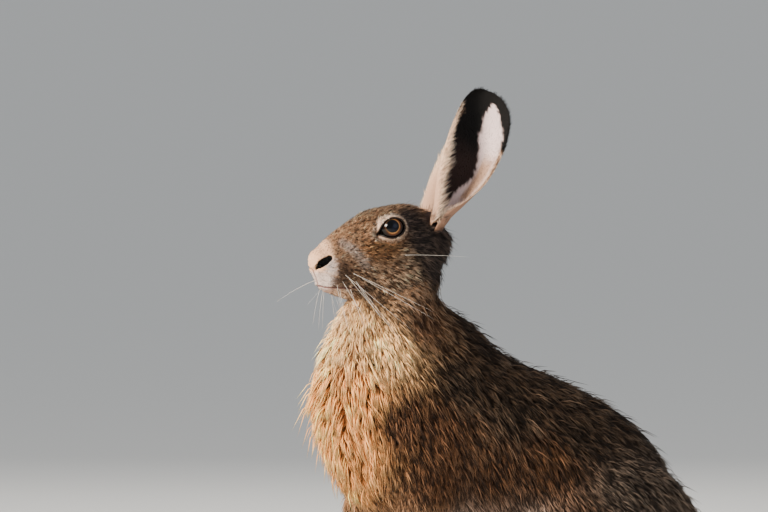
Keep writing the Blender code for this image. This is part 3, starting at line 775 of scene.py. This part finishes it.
def ear_stub(points):
    """How far points belong to the stub of an ear left on the head, and the way off its axis."""
    share, off = np.zeros(len(points)), np.zeros_like(points)
    for root, tip, _ in EARS.values():
        axis = unit(np.array(tip, float) - root)
        along = (points - root) @ axis
        aside = points - root - along[:, None] * axis
        near = smooth_step(*STUB_ALONG, along) * smooth_step(*STUB_ASIDE, np.linalg.norm(aside, axis=1))
        off = np.where((near > share)[:, None], aside, off)
        share = np.maximum(share, near)
    return share, off


def skin_surface():
    """The skin, its faces, the solids' surface and owners, and the distances to mouth and nostrils."""
    solid_points, solid_faces, owners = flesh_surface()
    tree = BVHTree.FromPolygons(solid_points.tolist(), solid_faces.tolist())
    swollen = solid_points + normals_of(solid_points, solid_faces) * INFLATE
    balls = [ball(eye_axes(side)[0], EYE_RADIUS + LID_THICK) for side in SIDES.values()]
    bm = remeshed(*joined([(swollen, solid_faces), *balls]))
    refined(bm)
    points, edges, faces = arrays_of(bm)
    bm.free()
    head = smooth_step(285, 305, points[:, 2])[:, None]
    points = relaxed(points, edges, RELAX_ROUNDS, 0.5 - 0.15 * head)
    points = without_claws(points)
    stub, off = ear_stub(points)
    points = points - off * (STUB_THINNER * stub)[:, None]
    points[:, 2] -= CROWN_DROP * smooth_step(346, 375, points[:, 2]) * (1 - stub)
    length = hair_at(points)[1]
    normals = normals_of(points, faces)
    points = points - normals * (length * COAT_SHARE)[:, None]
    points[:, 2] = np.maximum(points[:, 2], SOLE_HEIGHT)
    points, mouth, nostril = with_nose_and_mouth(points, faces, normals)
    return with_lids(points), faces, tree, owners, mouth, nostril


# Ears

EAR_CURVE = row_points(EAR_ROWS, 8)


def in_table(rows, value, column=1):
    """A column of rows of numbers at a value between those of their first column."""
    rows = np.asarray(rows, float)
    return np.interp(value, rows[:, 0], rows[:, column])


def ear_curl(share):
    return np.radians(in_table(EAR_CURVE, share, 2))


def ear_place(name, share, column, layer):
    """Points and normals of an ear's skin; layer 0 is its back and 1 its hollow side."""
    root, tip, faces = (np.array(v, float) for v in EARS[name])
    length = np.linalg.norm(tip - root)
    axis = (tip - root) / length
    faces = unit(faces - axis * (faces @ axis))
    wide = np.cross(axis, faces)
    share, column = np.asarray(share, float), np.asarray(column, float)
    curl = ear_curl(share)
    radius = in_table(EAR_CURVE, share) / curl
    bow = EAR_BOW * np.sin(math.pi * share) * np.sign(wide[0])
    middle = root + axis * (share * length * EAR_REACH)[:, None] + bow[:, None] * wide
    hub = middle + faces * (radius - radius * (1 - np.cos(curl)) / 2)[:, None]
    front = -np.sign(wide[0])
    folded = np.clip((column * front - FOLD_FROM) / (1 - FOLD_FROM), 0, 1)
    turn = np.where(folded > 0, FOLD_FROM * front, column) * curl
    wall = np.sin(turn)[:, None] * wide - np.cos(turn)[:, None] * faces
    over = (np.cos(turn)[:, None] * wide + np.sin(turn)[:, None] * faces) * front
    bend = folded * np.radians(in_table(FOLD_TURN, share))
    out = wall * np.cos(bend)[:, None] + over * np.sin(bend)[:, None]
    fold = np.minimum(FOLD_RADIUS * (1 - FOLD_TIGHTER * smooth_step(0.5, 0.95, share)), radius)
    thick = EAR_THICK * (1 - EDGE_THINNER * np.abs(column)) * (1 - TIP_THINNER * share)
    spare = np.minimum(EAR_COAT, thick * 0.35)
    inset = np.where(layer, thick - spare, spare)
    points = hub + wall * (radius - fold)[:, None] + out * (fold - inset)[:, None]
    return points, out * np.where(layer, -1, 1)[:, None]


def ear_across(share, column):
    """Where a column is across the ear as seen from the front: 0 its front edge and 1 its rear edge."""
    curl = ear_curl(share)
    widest = np.sin(np.minimum(curl, math.pi / 2))
    return 0.5 + 0.5 * np.sin(np.clip(column * curl, -math.pi / 2, math.pi / 2)) / widest


# Rows of share of the ear's length with how far across the painted shade of the hollow reaches, where the
# black of the rear edge begins, and how far ahead the painted shade stops short of the pale front edge
EAR_SHADE_TO = (
    (0, 0.44), (0.16, 0.47), (0.25, 0.51), (0.35, 0.61), (0.44, 0.74), (0.56, 0.69), (0.71, 0.56),
    (0.81, 0.55), (0.88, 0.58), (0.93, 0.64), (0.955, 1), (1, 1),
)
EAR_BLACK_FROM = (
    (0, 1.2), (0.6, 1.02), (0.66, 0.96), (0.71, 0.93), (0.81, 0.87), (0.87, 0.82), (0.93, 0.72),
    (0.955, 0.4), (0.97, 0), (1, 0),
)
EAR_PALE_EDGE = ((0.7, 0.81), (0.82, 0.93), (0.88, 1.2))


def ear_markings(name, share, column, layer):
    across = ear_across(share, column)
    ahead = -column
    if name == "right":
        across, ahead = 1 - across, column
    inner = np.asarray(layer, float)
    outer = 1 - inner
    jag = 0.02 * np.sin(share * 170 + 5 * np.sin(share * 41))
    tan = (smooth_step(0.66, 0.52, share) * smooth_step(0.24, 0.31, share)
           * smooth_step(0.72, 0.79, across) * smooth_step(0.96, 0.91, across))
    # Painted shade in the hollow: how much of the inner side is darkened as shade
    dark = (smooth_step(0.02, -0.02, across - (in_table(EAR_SHADE_TO, share) + jag))
            * smooth_step(0.13, 0.17, share)
            * smooth_step(0.03, -0.03, ahead - in_table(EAR_PALE_EDGE, share)))
    black = smooth_step(0.0, 0.03, across - (in_table(EAR_BLACK_FROM, share) + jag))
    behind = smooth_step(0.84, 0.88, share + 0.14 * smooth_step(0.1, 0.45, across))
    tip = np.maximum(black * smooth_step(0.5, 0.62, share), outer * behind)
    tip = np.maximum(tip, smooth_step(0.85, 0.9, share) * smooth_step(0.5, 0.4, across))
    return toned(
        np.tile(tone_row("ring"), (len(share), 1)),
        ("pink", inner * smooth_step(0.97, 0.93, across)),
        ("tan", inner * tan),
        ("cream", inner * smooth_step(0.6, 0.75, ahead)),
        # The hollow's painted shade, near black towards the tip, where the edge is also black
        ("hollow", inner * dark),
        ("black", inner * dark * smooth_step(0.5, 0.7, share)),
        ("ear", outer * smooth_step(0.2, 0.42, across) * 0.85),
        ("neck", outer * smooth_step(0.25, 0.5, across) * 0.85),
        ("cream", outer * smooth_step(0.42, 0.2, across) * 0.8),
        ("ear", outer * smooth_step(0.5, 0.3, share) * 0.7),
        ("neck", smooth_step(0.15, 0.02, share) * (1 - 0.7 * inner) * 0.7),
        ("black", tip),
    )


def ring_quads(rings, around):
    """Quads between rings of points that follow each other."""
    i, j = (a.ravel() for a in np.meshgrid(np.arange(rings - 1), np.arange(around), indexing="ij"))
    a, b = i * around + j, i * around + (j + 1) % around
    return np.column_stack([a, b, b + around, a + around])


def ear_mesh(name):
    """An ear's thin skin: rows along it, each out along the back and home along the hollow side."""
    shares = np.concatenate([np.linspace(0, 0.9, 46), np.linspace(0.91, 1, 10)])
    columns = np.linspace(-1, 1, 33)
    around = np.concatenate([columns, columns[::-1]])
    layer = np.repeat([0, 1], len(columns))
    points = np.vstack([ear_place(name, np.full(len(around), s), around, layer)[0] for s in shares])
    tones = np.vstack([ear_markings(name, np.full(len(around), s), around, layer) for s in shares])
    ring = len(around)
    half = np.arange(len(columns) - 1)
    cap = np.column_stack([half, half + 1, ring - 2 - half, ring - 1 - half])
    last = (len(shares) - 1) * ring
    return points, np.vstack([ring_quads(len(shares), ring), cap[:, ::-1], cap + last]), tones


# Tufts of hair

# How deep a tuft is rooted, how far up it bends, how much thinner it is there, how high it is for its
# width, and how much flatter than its root the rest lies, in degrees
ROOT_DEPTH, TO_BEND, WAIST, TUFT_HEIGHT = 0.5, 0.45, 0.82, 0.42
BENT_DROOP, STRAIGHT_DROOP = 26, 8
# Faces of a tuft's three root points, the three at its bend and its tip
BENT_FACES = [[(0, 2, 1), (3, 4, 6), (4, 5, 6), (5, 3, 6)], [(0, 1, 4, 3), (1, 2, 5, 4), (2, 0, 3, 5)]]
STRAIGHT_FACES = [[(0, 2, 1), (0, 1, 3), (1, 2, 3), (2, 0, 3)]]
# Each tuft's share of the map's width, and the lowest that hair may hang
PATCH = 0.003
LOWEST_HAIR = 0.5
# The share of long hairs that stand out of the coat, how far hairs stray in tone, and hairs in a
# clump by part
STRAYS = 0.05
STRAY_TONE = 0.8
CLUMP = {"head": 5, "chest": 11, "neck": 7, "torso": 7, "rump": 7, "thigh_left": 6, "thigh_right": 6}
CLUMP_ELSEWHERE = 5
# How unlike in tone the clumps of a part are, and how often hair is black in dark and other clumps
HEAD_CONTRAST, CLUMP_CONTRAST, CONTRAST = 0.36, 0.22, 0.12
BLACK_IN_DARK, BLACK_ELSEWHERE = 0.88, 0.12
# The mean length of hair from which a part's tufts are bent
BENT_FROM = 7.5
# Layers of tufts over each other and the most tufts a square millimetre, on the head, chest and rest
HEAD_LAYERS, FRONT_LAYERS, REST_LAYERS = 11, 8, 5.4
HEAD_MOST, REST_MOST = 1.7, 1.0


def tangent(lie, normals):
    return unit(lie - normals * (lie * normals).sum(axis=1)[:, None])


def varied(count, deviation, least):
    """Random factors about 1."""
    return np.clip(rng.normal(1, deviation, count), least, 1.4)


def tuft_width(length):
    return 0.34 + 0.046 * length


def tufts(name, material, roots, normals, lie, length, lift, tones, pulled, bent):
    """A piece of coat: each tuft is a closed, three-sided spike, bent once where it is long."""
    count = len(roots)
    width = tuft_width(length)
    side = unit(np.cross(normals, lie))
    steep = np.radians(lift)
    rise = lie * np.cos(steep)[:, None] + normals * np.sin(steep)[:, None]
    low_steep = steep - np.radians(BENT_DROOP if bent else STRAIGHT_DROOP)
    fall = lie * np.cos(low_steep)[:, None] + normals * np.sin(low_steep)[:, None]
    start = roots - normals * ROOT_DEPTH
    middle = roots + rise * (length * TO_BEND)[:, None]
    tip = middle + fall * (length * (1 - TO_BEND))[:, None]
    if pulled is not None:
        pull, centre_tip = pulled
        middle += (centre_tip - tip) * (pull * 0.3)[:, None]
        tip += (centre_tip - tip) * pull[:, None]
    for part in (middle, tip):
        part[:, 2] = np.maximum(part[:, 2], LOWEST_HAIR)
    half = side * (width / 2)[:, None]
    top = normals * (width * TUFT_HEIGHT)[:, None]
    base = np.stack([start - half, start + half, start + top], axis=1)
    under, band, end = tones[:, 0:3], tones[:, 3:6], tones[:, 6:9]
    dark = (rng.random(count) < tones[:, 9])[:, None]
    black = linear(DARK_TIP)
    end = np.where(dark, black, end)
    band = np.where(dark, band * 0.4 + black * 0.6, band)
    light = varied(count, 0.14, 0.65)[:, None]
    if bent:
        mid = np.stack([middle - half * WAIST, middle + half * WAIST, middle + top * WAIST], axis=1)
        points = np.concatenate([base, mid, tip[:, None]], axis=1)
        face_sets = BENT_FACES
        colours = np.stack([under] * 3 + [band] * 3 + [end], axis=1)
    else:
        points = np.concatenate([base, tip[:, None]], axis=1)
        face_sets = STRAIGHT_FACES
        colours = np.stack([under * 0.35 + band * 0.65] * 3 + [end], axis=1)
    size = points.shape[1]
    offset = (np.arange(count) * size)[:, None, None]
    all_faces = [(np.array(faces) + offset).reshape(-1, len(faces[0])) for faces in face_sets]
    mesh = new_mesh(name, points.reshape(-1, 3), all_faces)
    set_values(mesh, "marking", np.clip(colours * light[:, None], 0, 1).reshape(-1, 3))
    down = np.repeat(np.linspace(-0.5, 0.5, size // 3 + 1), 3)[:size]
    beside = np.array([-0.5, 0.5, 0] * (size // 3) + [0])
    patches = unwrapped(roots)[:, None] + PATCH * np.column_stack([beside, down])
    corner = read(mesh.loops, "vertex_index", 1, np.int32).ravel()
    mesh.uv_layers.new(name="OFBake").data.foreach_set(
        "uv", patches.reshape(-1, 2)[corner].astype(np.float32).ravel())
    return piece(mesh, material)


def unwrapped(points):
    """The places of points on their part's surface rolled out flat, round its longest axis."""
    centred = points - points.mean(axis=0)
    axes = np.linalg.svd(centred[:: max(1, len(points) // 4000)], full_matrices=False)[2]
    local = centred @ axes.T
    turn = np.arctan2(local[:, 2], local[:, 1]) / (2 * math.pi) + 0.5
    along = (local[:, 0] - local[:, 0].min()) / np.ptp(local[:, 0])
    return np.column_stack([turn, along]) * (1 - 4 * PATCH) + 2 * PATCH


def clumped(roots, tips, spacing):
    """The tip of the nearest clump's middle hair, and which clump each hair is in."""
    count = max(8, int(len(roots) / spacing))
    chosen = rng.choice(len(roots), count, replace=False)
    tree = KDTree(count)
    for index, place in enumerate(roots[chosen].tolist()):
        tree.insert(place, index)
    tree.balance()
    nearest = np.array([tree.find(place)[1] for place in roots.tolist()])
    return tips[chosen][nearest], nearest


def sampled(points, faces, density):
    """Random places on triangles, by hairs a square millimetre: face and shares of its corners."""
    area = np.linalg.norm(face_normals(points, faces), axis=1) / 2
    counts = rng.poisson(area * density)
    chosen = np.repeat(np.arange(len(faces)), counts)
    u, v = rng.random((2, len(chosen)))
    over = u + v > 1
    u, v = np.where(over, 1 - u, u), np.where(over, 1 - v, v)
    return chosen, np.column_stack([1 - u - v, u, v])


def body_coat(points, faces, tree, owners, mouth, nostril, material):
    """Hair over the skin, as one piece for each of the solids' nodes."""
    normals = normals_of(points, faces)
    centres = points[faces].mean(axis=1)
    length = hair_at(centres)[1]
    on_head, in_front = centres[:, 2] > 297, (centres[:, 0] < -100) & (centres[:, 2] > 140)
    layers = np.where(on_head, HEAD_LAYERS, np.where(in_front, FRONT_LAYERS, REST_LAYERS))
    most = np.where(on_head, HEAD_MOST, REST_MOST)
    density = np.minimum(most, layers / (length * tuft_width(length))) * FEWER
    eye = eye_measure(centres)[0]
    density *= 1 + 1.4 * smooth_step(9, 4, eye)
    bare = ((eye < LID_RIM) | (ear_stub(centres)[0] > 0.4) | (nostril[faces].mean(axis=1) < 1.0)
            | (mouth[faces].mean(axis=1) < 0.8))
    density[bare] = 0
    chosen, shares = sampled(points, faces, density)
    corners = faces[chosen]
    roots = (points[corners] * shares[..., None]).sum(axis=1)
    normal = unit((normals[corners] * shares[..., None]).sum(axis=1))
    found = np.array([tree.find_nearest(place)[2] for place in centres.tolist()])
    owner = owners[found][chosen]
    for index, name in enumerate(FLESH):
        mine = owner == index
        coat_part(name, roots[mine], normal[mine], material)


def coat_part(name, roots, normals, material):
    """The coat over one part of the body."""
    count = len(roots)
    lie, length, lift = hair_at(roots)
    around_eye = smooth_step(7, 1.5, eye_measure(roots)[0])
    for side in SIDES.values():
        near = roots[:, 1] * side > 0
        away = tangent(unit(roots - eye_axes(side)[0]), normals)
        lie = np.where(near[:, None], unit(lie + away * (around_eye * 1.6)[:, None]), lie)
    length = length * (1 - 0.4 * around_eye)
    lie = tangent(lie, normals)
    side = np.cross(normals, lie)
    sway = np.radians(rng.normal(0, 9, count))[:, None]
    lie = lie * np.cos(sway) + side * np.sin(sway)
    length = length * varied(count, 0.16, 0.6)
    lift = np.clip(lift + rng.normal(0, 5, count), 8, 60)
    tones = markings(roots + rng.normal(0, STRAY_TONE, roots.shape))
    bent = length.mean() > BENT_FROM
    steep = np.radians(lift - 12)[:, None]
    tips = roots + (lie * np.cos(steep) + normals * np.sin(steep)) * length[:, None]
    pull = 0.25 + smooth_step(4, 16, length) * 0.4
    centre_tips, clump = clumped(roots, tips, CLUMP.get(name, CLUMP_ELSEWHERE))
    shade = rng.random(clump.max() + 1)[clump]
    tones[:, 9] = np.where(shade < tones[:, 9], BLACK_IN_DARK, BLACK_ELSEWHERE * (tones[:, 9] > 0.1))
    contrast = HEAD_CONTRAST if name == "head" else CLUMP_CONTRAST if name in CLUMP else CONTRAST
    paler = np.exp(rng.normal(0, contrast, clump.max() + 1))[clump]
    tones[:, :9] *= paler[:, None]
    stray = (rng.random(count) < STRAYS) & (length > 7)
    pull[stray] = 0
    length[stray] *= 1.3
    lift[stray] += 14
    tufts("coat_" + name, material, roots, normals, lie, length, lift, tones,
          (pull, centre_tips), bent)


def ear_coat(name, material):
    tries = int(EAR_TRIES * FEWER)
    share, column, level = rng.random(tries), rng.uniform(-1, 1, tries), rng.random(tries)
    layer = rng.integers(0, 2, tries)
    kept = (level < in_table(EAR_CURVE, share) / EAR_WIDEST) & (share > EAR_HAIR_FROM)
    share, column, layer = share[kept], column[kept], layer[kept]
    roots, normals = ear_place(name, share, column, layer)
    step = 0.01
    behind, ahead = (ear_place(name, np.clip(share + s, 0, 1), column, layer)[0] for s in (-step, step))
    narrower, wider = (ear_place(name, share, np.clip(column + s, -1, 1), layer)[0] for s in (-step, step))
    along, out = unit(ahead - behind), unit(wider - narrower) * np.sign(column)[:, None]
    edge = smooth_step(0.5, 0.98, np.abs(column))
    front = column < 0 if name == "left" else column > 0
    lie = unit(along + out * (0.15 + 0.9 * edge)[:, None] + rng.normal(0, 0.1, (len(share), 3)))
    normals = unit(normals + out * (0.8 * edge**3)[:, None])
    low = smooth_step(0.7, 0.4, share)
    saw = (share * EAR_FRINGE + 0.15 * np.sin(share * 60)) % 1
    length = 2.2 + 0.8 * edge + 4 * smooth_step(0.25, 0.05, share)
    length += (9 * saw - 1) * smooth_step(0.8, 0.97, np.abs(column)) * low * front
    length *= rng.uniform(0.7, 1.3, len(share))
    lift = rng.normal(15, 4, len(share))
    tones = ear_markings(name, share, column, layer)
    tufts("coat_ear_" + name, material, roots, normals, tangent(lie, normals),
          length, lift, tones, None, False)


# Eyes, claws and whiskers

IRIS_RADIUS = 9.0
PUPIL_RADIUS = 5.2
# Colours outwards from the middle of the pupil, by radius
EYE_COLOURS = [
    (0.0, (0.003, 0.004, 0.010)), (PUPIL_RADIUS - 0.25, (0.002, 0.002, 0.005)),
    (PUPIL_RADIUS + 0.15, (0.46, 0.22, 0.07)), (PUPIL_RADIUS + 0.6, (0.16, 0.055, 0.015)),
    (PUPIL_RADIUS + 1.5, (0.05, 0.016, 0.006)), (PUPIL_RADIUS + 2.3, (0.008, 0.004, 0.003)),
    (IRIS_RADIUS + 0.3, (0.004, 0.003, 0.003)),
]


def eye_material():
    material, bsdf = shader("eye", Roughness=0.1, Coat_Weight=0.08, Coat_Roughness=0.03,
                            Specular_IOR_Level=0.16)
    tree = material.node_tree
    ramp = node(tree, "ValToRGB", {"Fac": attribute(tree, "ring")})
    elements = ramp.color_ramp.elements
    for index, (radius, colour) in enumerate(EYE_COLOURS):
        element = elements[index] if index < len(elements) else elements.new(1.0)
        element.position = radius / EYE_RADIUS
        element.color = (*colour, 1)
    streak = attribute(tree, "streak", "Vector")
    noise = node(tree, "TexNoise", {"Vector": streak, "Scale": 1.0, "Detail": 4.0})
    streaks = spread(tree, noise.outputs["Fac"], 0.45, 1.6)
    # Painted light in the iris: the streaks times a brightness standing in for light through the cornea
    lit = node(tree, "Math", {0: streaks, 1: attribute(tree, "painted_iris_light")}, operation="MULTIPLY")
    mixed = multiplied(tree, ramp.outputs["Color"], lit.outputs["Value"])
    tree.links.new(mixed, bsdf.inputs["Base Color"])
    return material


def eye_piece(name, side, material):
    """An eyeball of rings round its gaze, with the cornea's low dome."""
    centre, gaze, back, up = eye_axes(side)
    around = EYE_SIDES
    bends = np.concatenate([np.linspace(0.02, 1.15, 56), np.linspace(1.2, math.pi - 0.05, 18)])
    turn = np.linspace(0, 2 * math.pi, around, endpoint=False)
    bend, turn = (a.ravel() for a in np.meshgrid(bends, turn, indexing="ij"))
    ring = EYE_RADIUS * np.sin(bend)
    front = bend < math.pi / 2
    dome = np.where(front, CORNEA * np.clip(1 - (ring / (IRIS_RADIUS + 0.6)) ** 2, 0, 1) ** 1.5, 0)
    flat = np.cos(turn)[:, None] * back + np.sin(turn)[:, None] * up
    points = centre + flat * ring[:, None] + gaze * (EYE_RADIUS * np.cos(bend) + dome)[:, None]
    rings = len(bends)
    j = np.arange(around)
    poles = np.vstack([centre + gaze * (EYE_RADIUS + CORNEA), centre - gaze * EYE_RADIUS])
    front_fan = np.column_stack([np.full(around, len(points)), (j + 1) % around, j])
    last = (rings - 1) * around
    back_fan = np.column_stack([np.full(around, len(points) + 1), last + j, last + (j + 1) % around])
    faces = [ring_quads(rings, around), np.vstack([front_fan, back_fan])]
    if side < 0:
        faces = [f[:, ::-1] for f in faces]
    mesh = new_mesh("eyeball_" + name, np.vstack([points, poles]), faces)
    shade = np.where(front, ring / EYE_RADIUS, 1)
    set_values(mesh, "ring", np.concatenate([shade, [0, 1]]))
    streak = np.column_stack([np.cos(turn) * 9, np.sin(turn) * 9, ring * 0.25]) / 20 + 0.5
    set_values(mesh, "streak", np.vstack([streak * 12, [[0, 0, 0], [0, 0, 0]]]))
    # Painted light and shade in the iris: brighter at the lower rear, darker at the upper front, where
    # light through the cornea would fall
    toward = np.cos(turn) * 0.75 - np.sin(turn) * 0.65
    set_values(mesh, "painted_iris_light", np.concatenate([0.1 + 1.0 * smooth_step(-0.7, 0.8, toward), [1, 1]]))
    made = piece(mesh, material)
    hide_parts("eye_" + name)


def tapered(path, radii, sides):
    """Rings round a path with a point at its end."""
    path = np.asarray(path, float)
    along = unit(np.gradient(path, axis=0))
    side = unit(np.cross(along, (0.31, 0.52, 0.8)))
    over = np.cross(side, along)
    turn = np.linspace(0, 2 * math.pi, sides, endpoint=False)
    ring = np.cos(turn)[None, :, None] * side[:, None] + np.sin(turn)[None, :, None] * over[:, None]
    points = (path[:, None] + ring * np.asarray(radii)[:, None, None]).reshape(-1, 3)
    quads = ring_quads(len(path), sides)[:, [0, 3, 2, 1]]
    j = np.arange(1, sides - 1)
    last = (len(path) - 1) * sides
    caps = np.vstack([np.column_stack([np.zeros_like(j), j, j + 1]),
                      np.column_stack([np.full_like(j, last), last + j + 1, last + j])])
    return points, quads, caps


def gathered(name, parts):
    """Many tapered pieces as one mesh."""
    points, *face_sets = joined(parts)
    return new_mesh(name, points, face_sets)


CLAW_COLOUR, WHISKER_COLOUR = (0.035, 0.022, 0.016), (0.86, 0.81, 0.74)
# Rows of share of the length and radius there
CLAW_RADII = ((0, 1.75), (0.5, 1.5), (0.8, 0.95), (1, 0.12))
WHISKER_RADII = ((0, 0.1), (0.6, 0.07), (1, 0.025))


def claw_pieces():
    material = mottled("claw", CLAW_COLOUR, 700, 0.5, 1.6, Roughness=0.35, Specular_IOR_Level=0.5)[0]
    parts = []
    for x, y in claw_places():
        path = row_points([(x + behind, y, height) for behind, height in CLAW_PATH], 4)
        radii = in_table(CLAW_RADII, np.linspace(0, 1, len(path)))
        parts.append(tapered(path, radii, 10))
    piece(gathered("claws", parts), material)


# Whiskers: root, way and length
WHISKERS = [
    ((-143, 15.5, 322), (0.45, 0.55, -0.55), 58), ((-140, 16.5, 319), (0.45, 0.5, -0.75), 60),
    ((-137, 17.5, 323), (0.6, 0.55, -0.45), 66), ((-135, 18, 317), (0.45, 0.5, -0.9), 56),
    ((-145, 15, 317), (0.2, 0.5, -0.85), 44), ((-149, 13, 315), (-0.1, 0.5, -0.85), 36),
    ((-153, 12, 318), (-0.8, 0.4, -0.35), 38), ((-133, 18.5, 313), (0.5, 0.4, -0.8), 50),
    ((-147, 14, 311), (0, 0.4, -0.95), 34), ((-130, 19.5, 319), (0.7, 0.5, -0.5), 60),
    ((-139, 16.5, 311), (0.25, 0.35, -0.95), 40), ((-98, 29, 337), (0.95, 0.3, 0.04), 48),
]


def whisker_piece():
    material = mottled("whisker", WHISKER_COLOUR, 120, 0.8, 1.1, Roughness=0.35, Specular_IOR_Level=0.6)[0]
    parts = []
    share = np.linspace(0, 1, 13)[:, None]
    for root, way, length in WHISKERS:
        for side in SIDES.values():
            root_point = np.array(root, float) * (1, side, 1)
            way_now = unit(np.array(way, float) * (1, side, 1) + rng.normal(0, 0.05, 3))
            droop = np.array((0.12, 0, -0.1)) * rng.uniform(0.4, 1.2)
            path = root_point + way_now * share * length + droop * share**2 * length
            parts.append(tapered(path, in_table(WHISKER_RADII, share.ravel()), 5))
    piece(gathered("whiskers", parts), material)


# Putting it together

# How the skin takes its colour from the coat's under fur and band, on the body and on the ears
UNDER_SHARE, BODY_BAND, EAR_BAND = 0.35, 0.5, 0.6
# Lid rims and mouth in their own colours; the nostril colour is painted shade, near black inside the sunk
# slits
RIM_COLOUR, MOUTH_COLOUR, NOSTRIL_SHADE_COLOUR = (0.08, 0.05, 0.04), (0.36, 0.2, 0.2), (0.03, 0.02, 0.02)


def skin_piece(points, faces, mouth, nostril, material):
    """The body's skin and both ears as one piece."""
    tones = markings(points)
    base = tones[:, 0:3] * UNDER_SHARE + tones[:, 3:6] * BODY_BAND
    rim = smooth_step(LID_RIM + 0.4, LID_RIM - 0.2, eye_measure(points)[0])
    # Painted shade inside the nostril slits
    nostril_shade = smooth_step(1.2, 1.0, nostril)
    line = smooth_step(1.3, 0.6, mouth)
    for share, colour in ((rim, RIM_COLOUR), (line, MOUTH_COLOUR), (nostril_shade, NOSTRIL_SHADE_COLOUR)):
        base = base + (linear(colour) - base) * share[:, None]
    wet = np.maximum.reduce([rim * 0.8, nostril_shade * 0.5, line * 0.4])
    ears = [ear_mesh(name) for name in SIDES]
    ear_points, quads = joined([ear[:2] for ear in ears])
    ear_tones = np.vstack([ear[2] for ear in ears])
    ear_base = ear_tones[:, 0:3] * UNDER_SHARE + ear_tones[:, 3:6] * EAR_BAND
    mesh = new_mesh("skin", np.vstack([points, ear_points]), [faces, quads + len(points)])
    set_values(mesh, "marking", np.vstack([base, ear_base]))
    set_values(mesh, "wet", np.concatenate([wet, np.zeros(len(ear_points))]))
    made = piece(mesh, material)
    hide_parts(*FLESH, "ear_left", "ear_right")


FLOOR_HALF = 300


def floor():
    mesh = bpy.data.meshes.new("floor")
    corners = [(x * FLOOR_HALF, y * FLOOR_HALF, 0) for x, y in ((-1, -1), (1, -1), (1, 1), (-1, 1))]
    mesh.from_pydata(corners, [], [(0, 1, 2, 3)])
    mesh.materials.append(shader("floor", Roughness=0.9, Base_Color=(0.72, 0.71, 0.68, 1))[0])
    obj = placed("floor", mesh)


# Lamps: name, place, width in metres, power and colour
LAMPS = [
    ("key", (-2.0, -0.25, 1.1), 0.7, 125, (1.0, 0.89, 0.76)),
    ("fill", (0.6, -2.4, 1.2), 2.0, 9, (0.86, 0.93, 1.0)),
    ("rim", (0.9, 1.9, 1.6), 1.2, 26, (1.0, 0.96, 0.90)),
]
LAMP_AIM = (-0.08, 0, 0.28)
SKY_COLOUR, SKY_STRENGTH = (0.86, 0.9, 0.95, 1), 0.62


def lights():
    for name, place, width, power, colour in LAMPS:
        light = bpy.data.lights.new(name, "AREA")
        light.shape = "DISK"
        light.size = width
        light.energy = power
        light.color = colour
        obj = placed(name, light)
        obj.location = place
        obj.rotation_euler = (Vector(LAMP_AIM) - Vector(place)).to_track_quat("-Z", "Y").to_euler()
    sky = bpy.data.worlds.new("studio")
    sky.use_nodes = True
    inputs = sky.node_tree.nodes["Background"].inputs
    inputs["Color"].default_value = SKY_COLOUR
    inputs["Strength"].default_value = SKY_STRENGTH
    bpy.context.scene.world = sky


def camera():
    """The photograph's framing: level with the hare's chest, from its left and a little ahead."""
    turn, tilt = math.radians(VIEW_TURN), math.radians(VIEW_TILT)
    right = np.array((math.cos(turn), math.sin(turn), 0))
    away = np.array((math.sin(turn) * math.cos(tilt), -math.cos(turn) * math.cos(tilt), math.sin(tilt)))
    middle = (right * (PHOTO_SIZE[0] / 2 - ORIGIN_PIXEL[0]) * PIXEL
              + np.array((0, 0, 1)) * (ORIGIN_PIXEL[1] - PHOTO_SIZE[1] / 2) * PIXEL)
    target = world(middle)
    lens = bpy.data.cameras.new("camera")
    lens.sensor_width = SENSOR
    lens.lens = SENSOR * VIEW_DISTANCE / (PHOTO_SIZE[0] * PIXEL * MM)
    lens.clip_end = 1000
    obj = placed("camera", lens)
    obj.location = target + away * VIEW_DISTANCE
    obj.rotation_euler = Vector(-away).to_track_quat("-Z", "Y").to_euler()
    bpy.context.scene.camera = obj


def main():
    camera()
    lights()
    floor()
    points, faces, tree, owners, mouth, nostril = skin_surface()
    coat = mottled("coat", None, 900, 0.86, 1.14, Roughness=0.75, Specular_IOR_Level=0.1,
                   Sheen_Weight=0.03, Sheen_Roughness=0.5)[0]
    skin_piece(points, faces, mouth, nostril, skin_material())
    eye = eye_material()
    for name, side in SIDES.items():
        eye_piece(name, side, eye)
        ear_coat(name, coat)
    body_coat(points, faces, tree, owners, mouth, nostril, coat)
    claw_pieces()
    whisker_piece()


main()
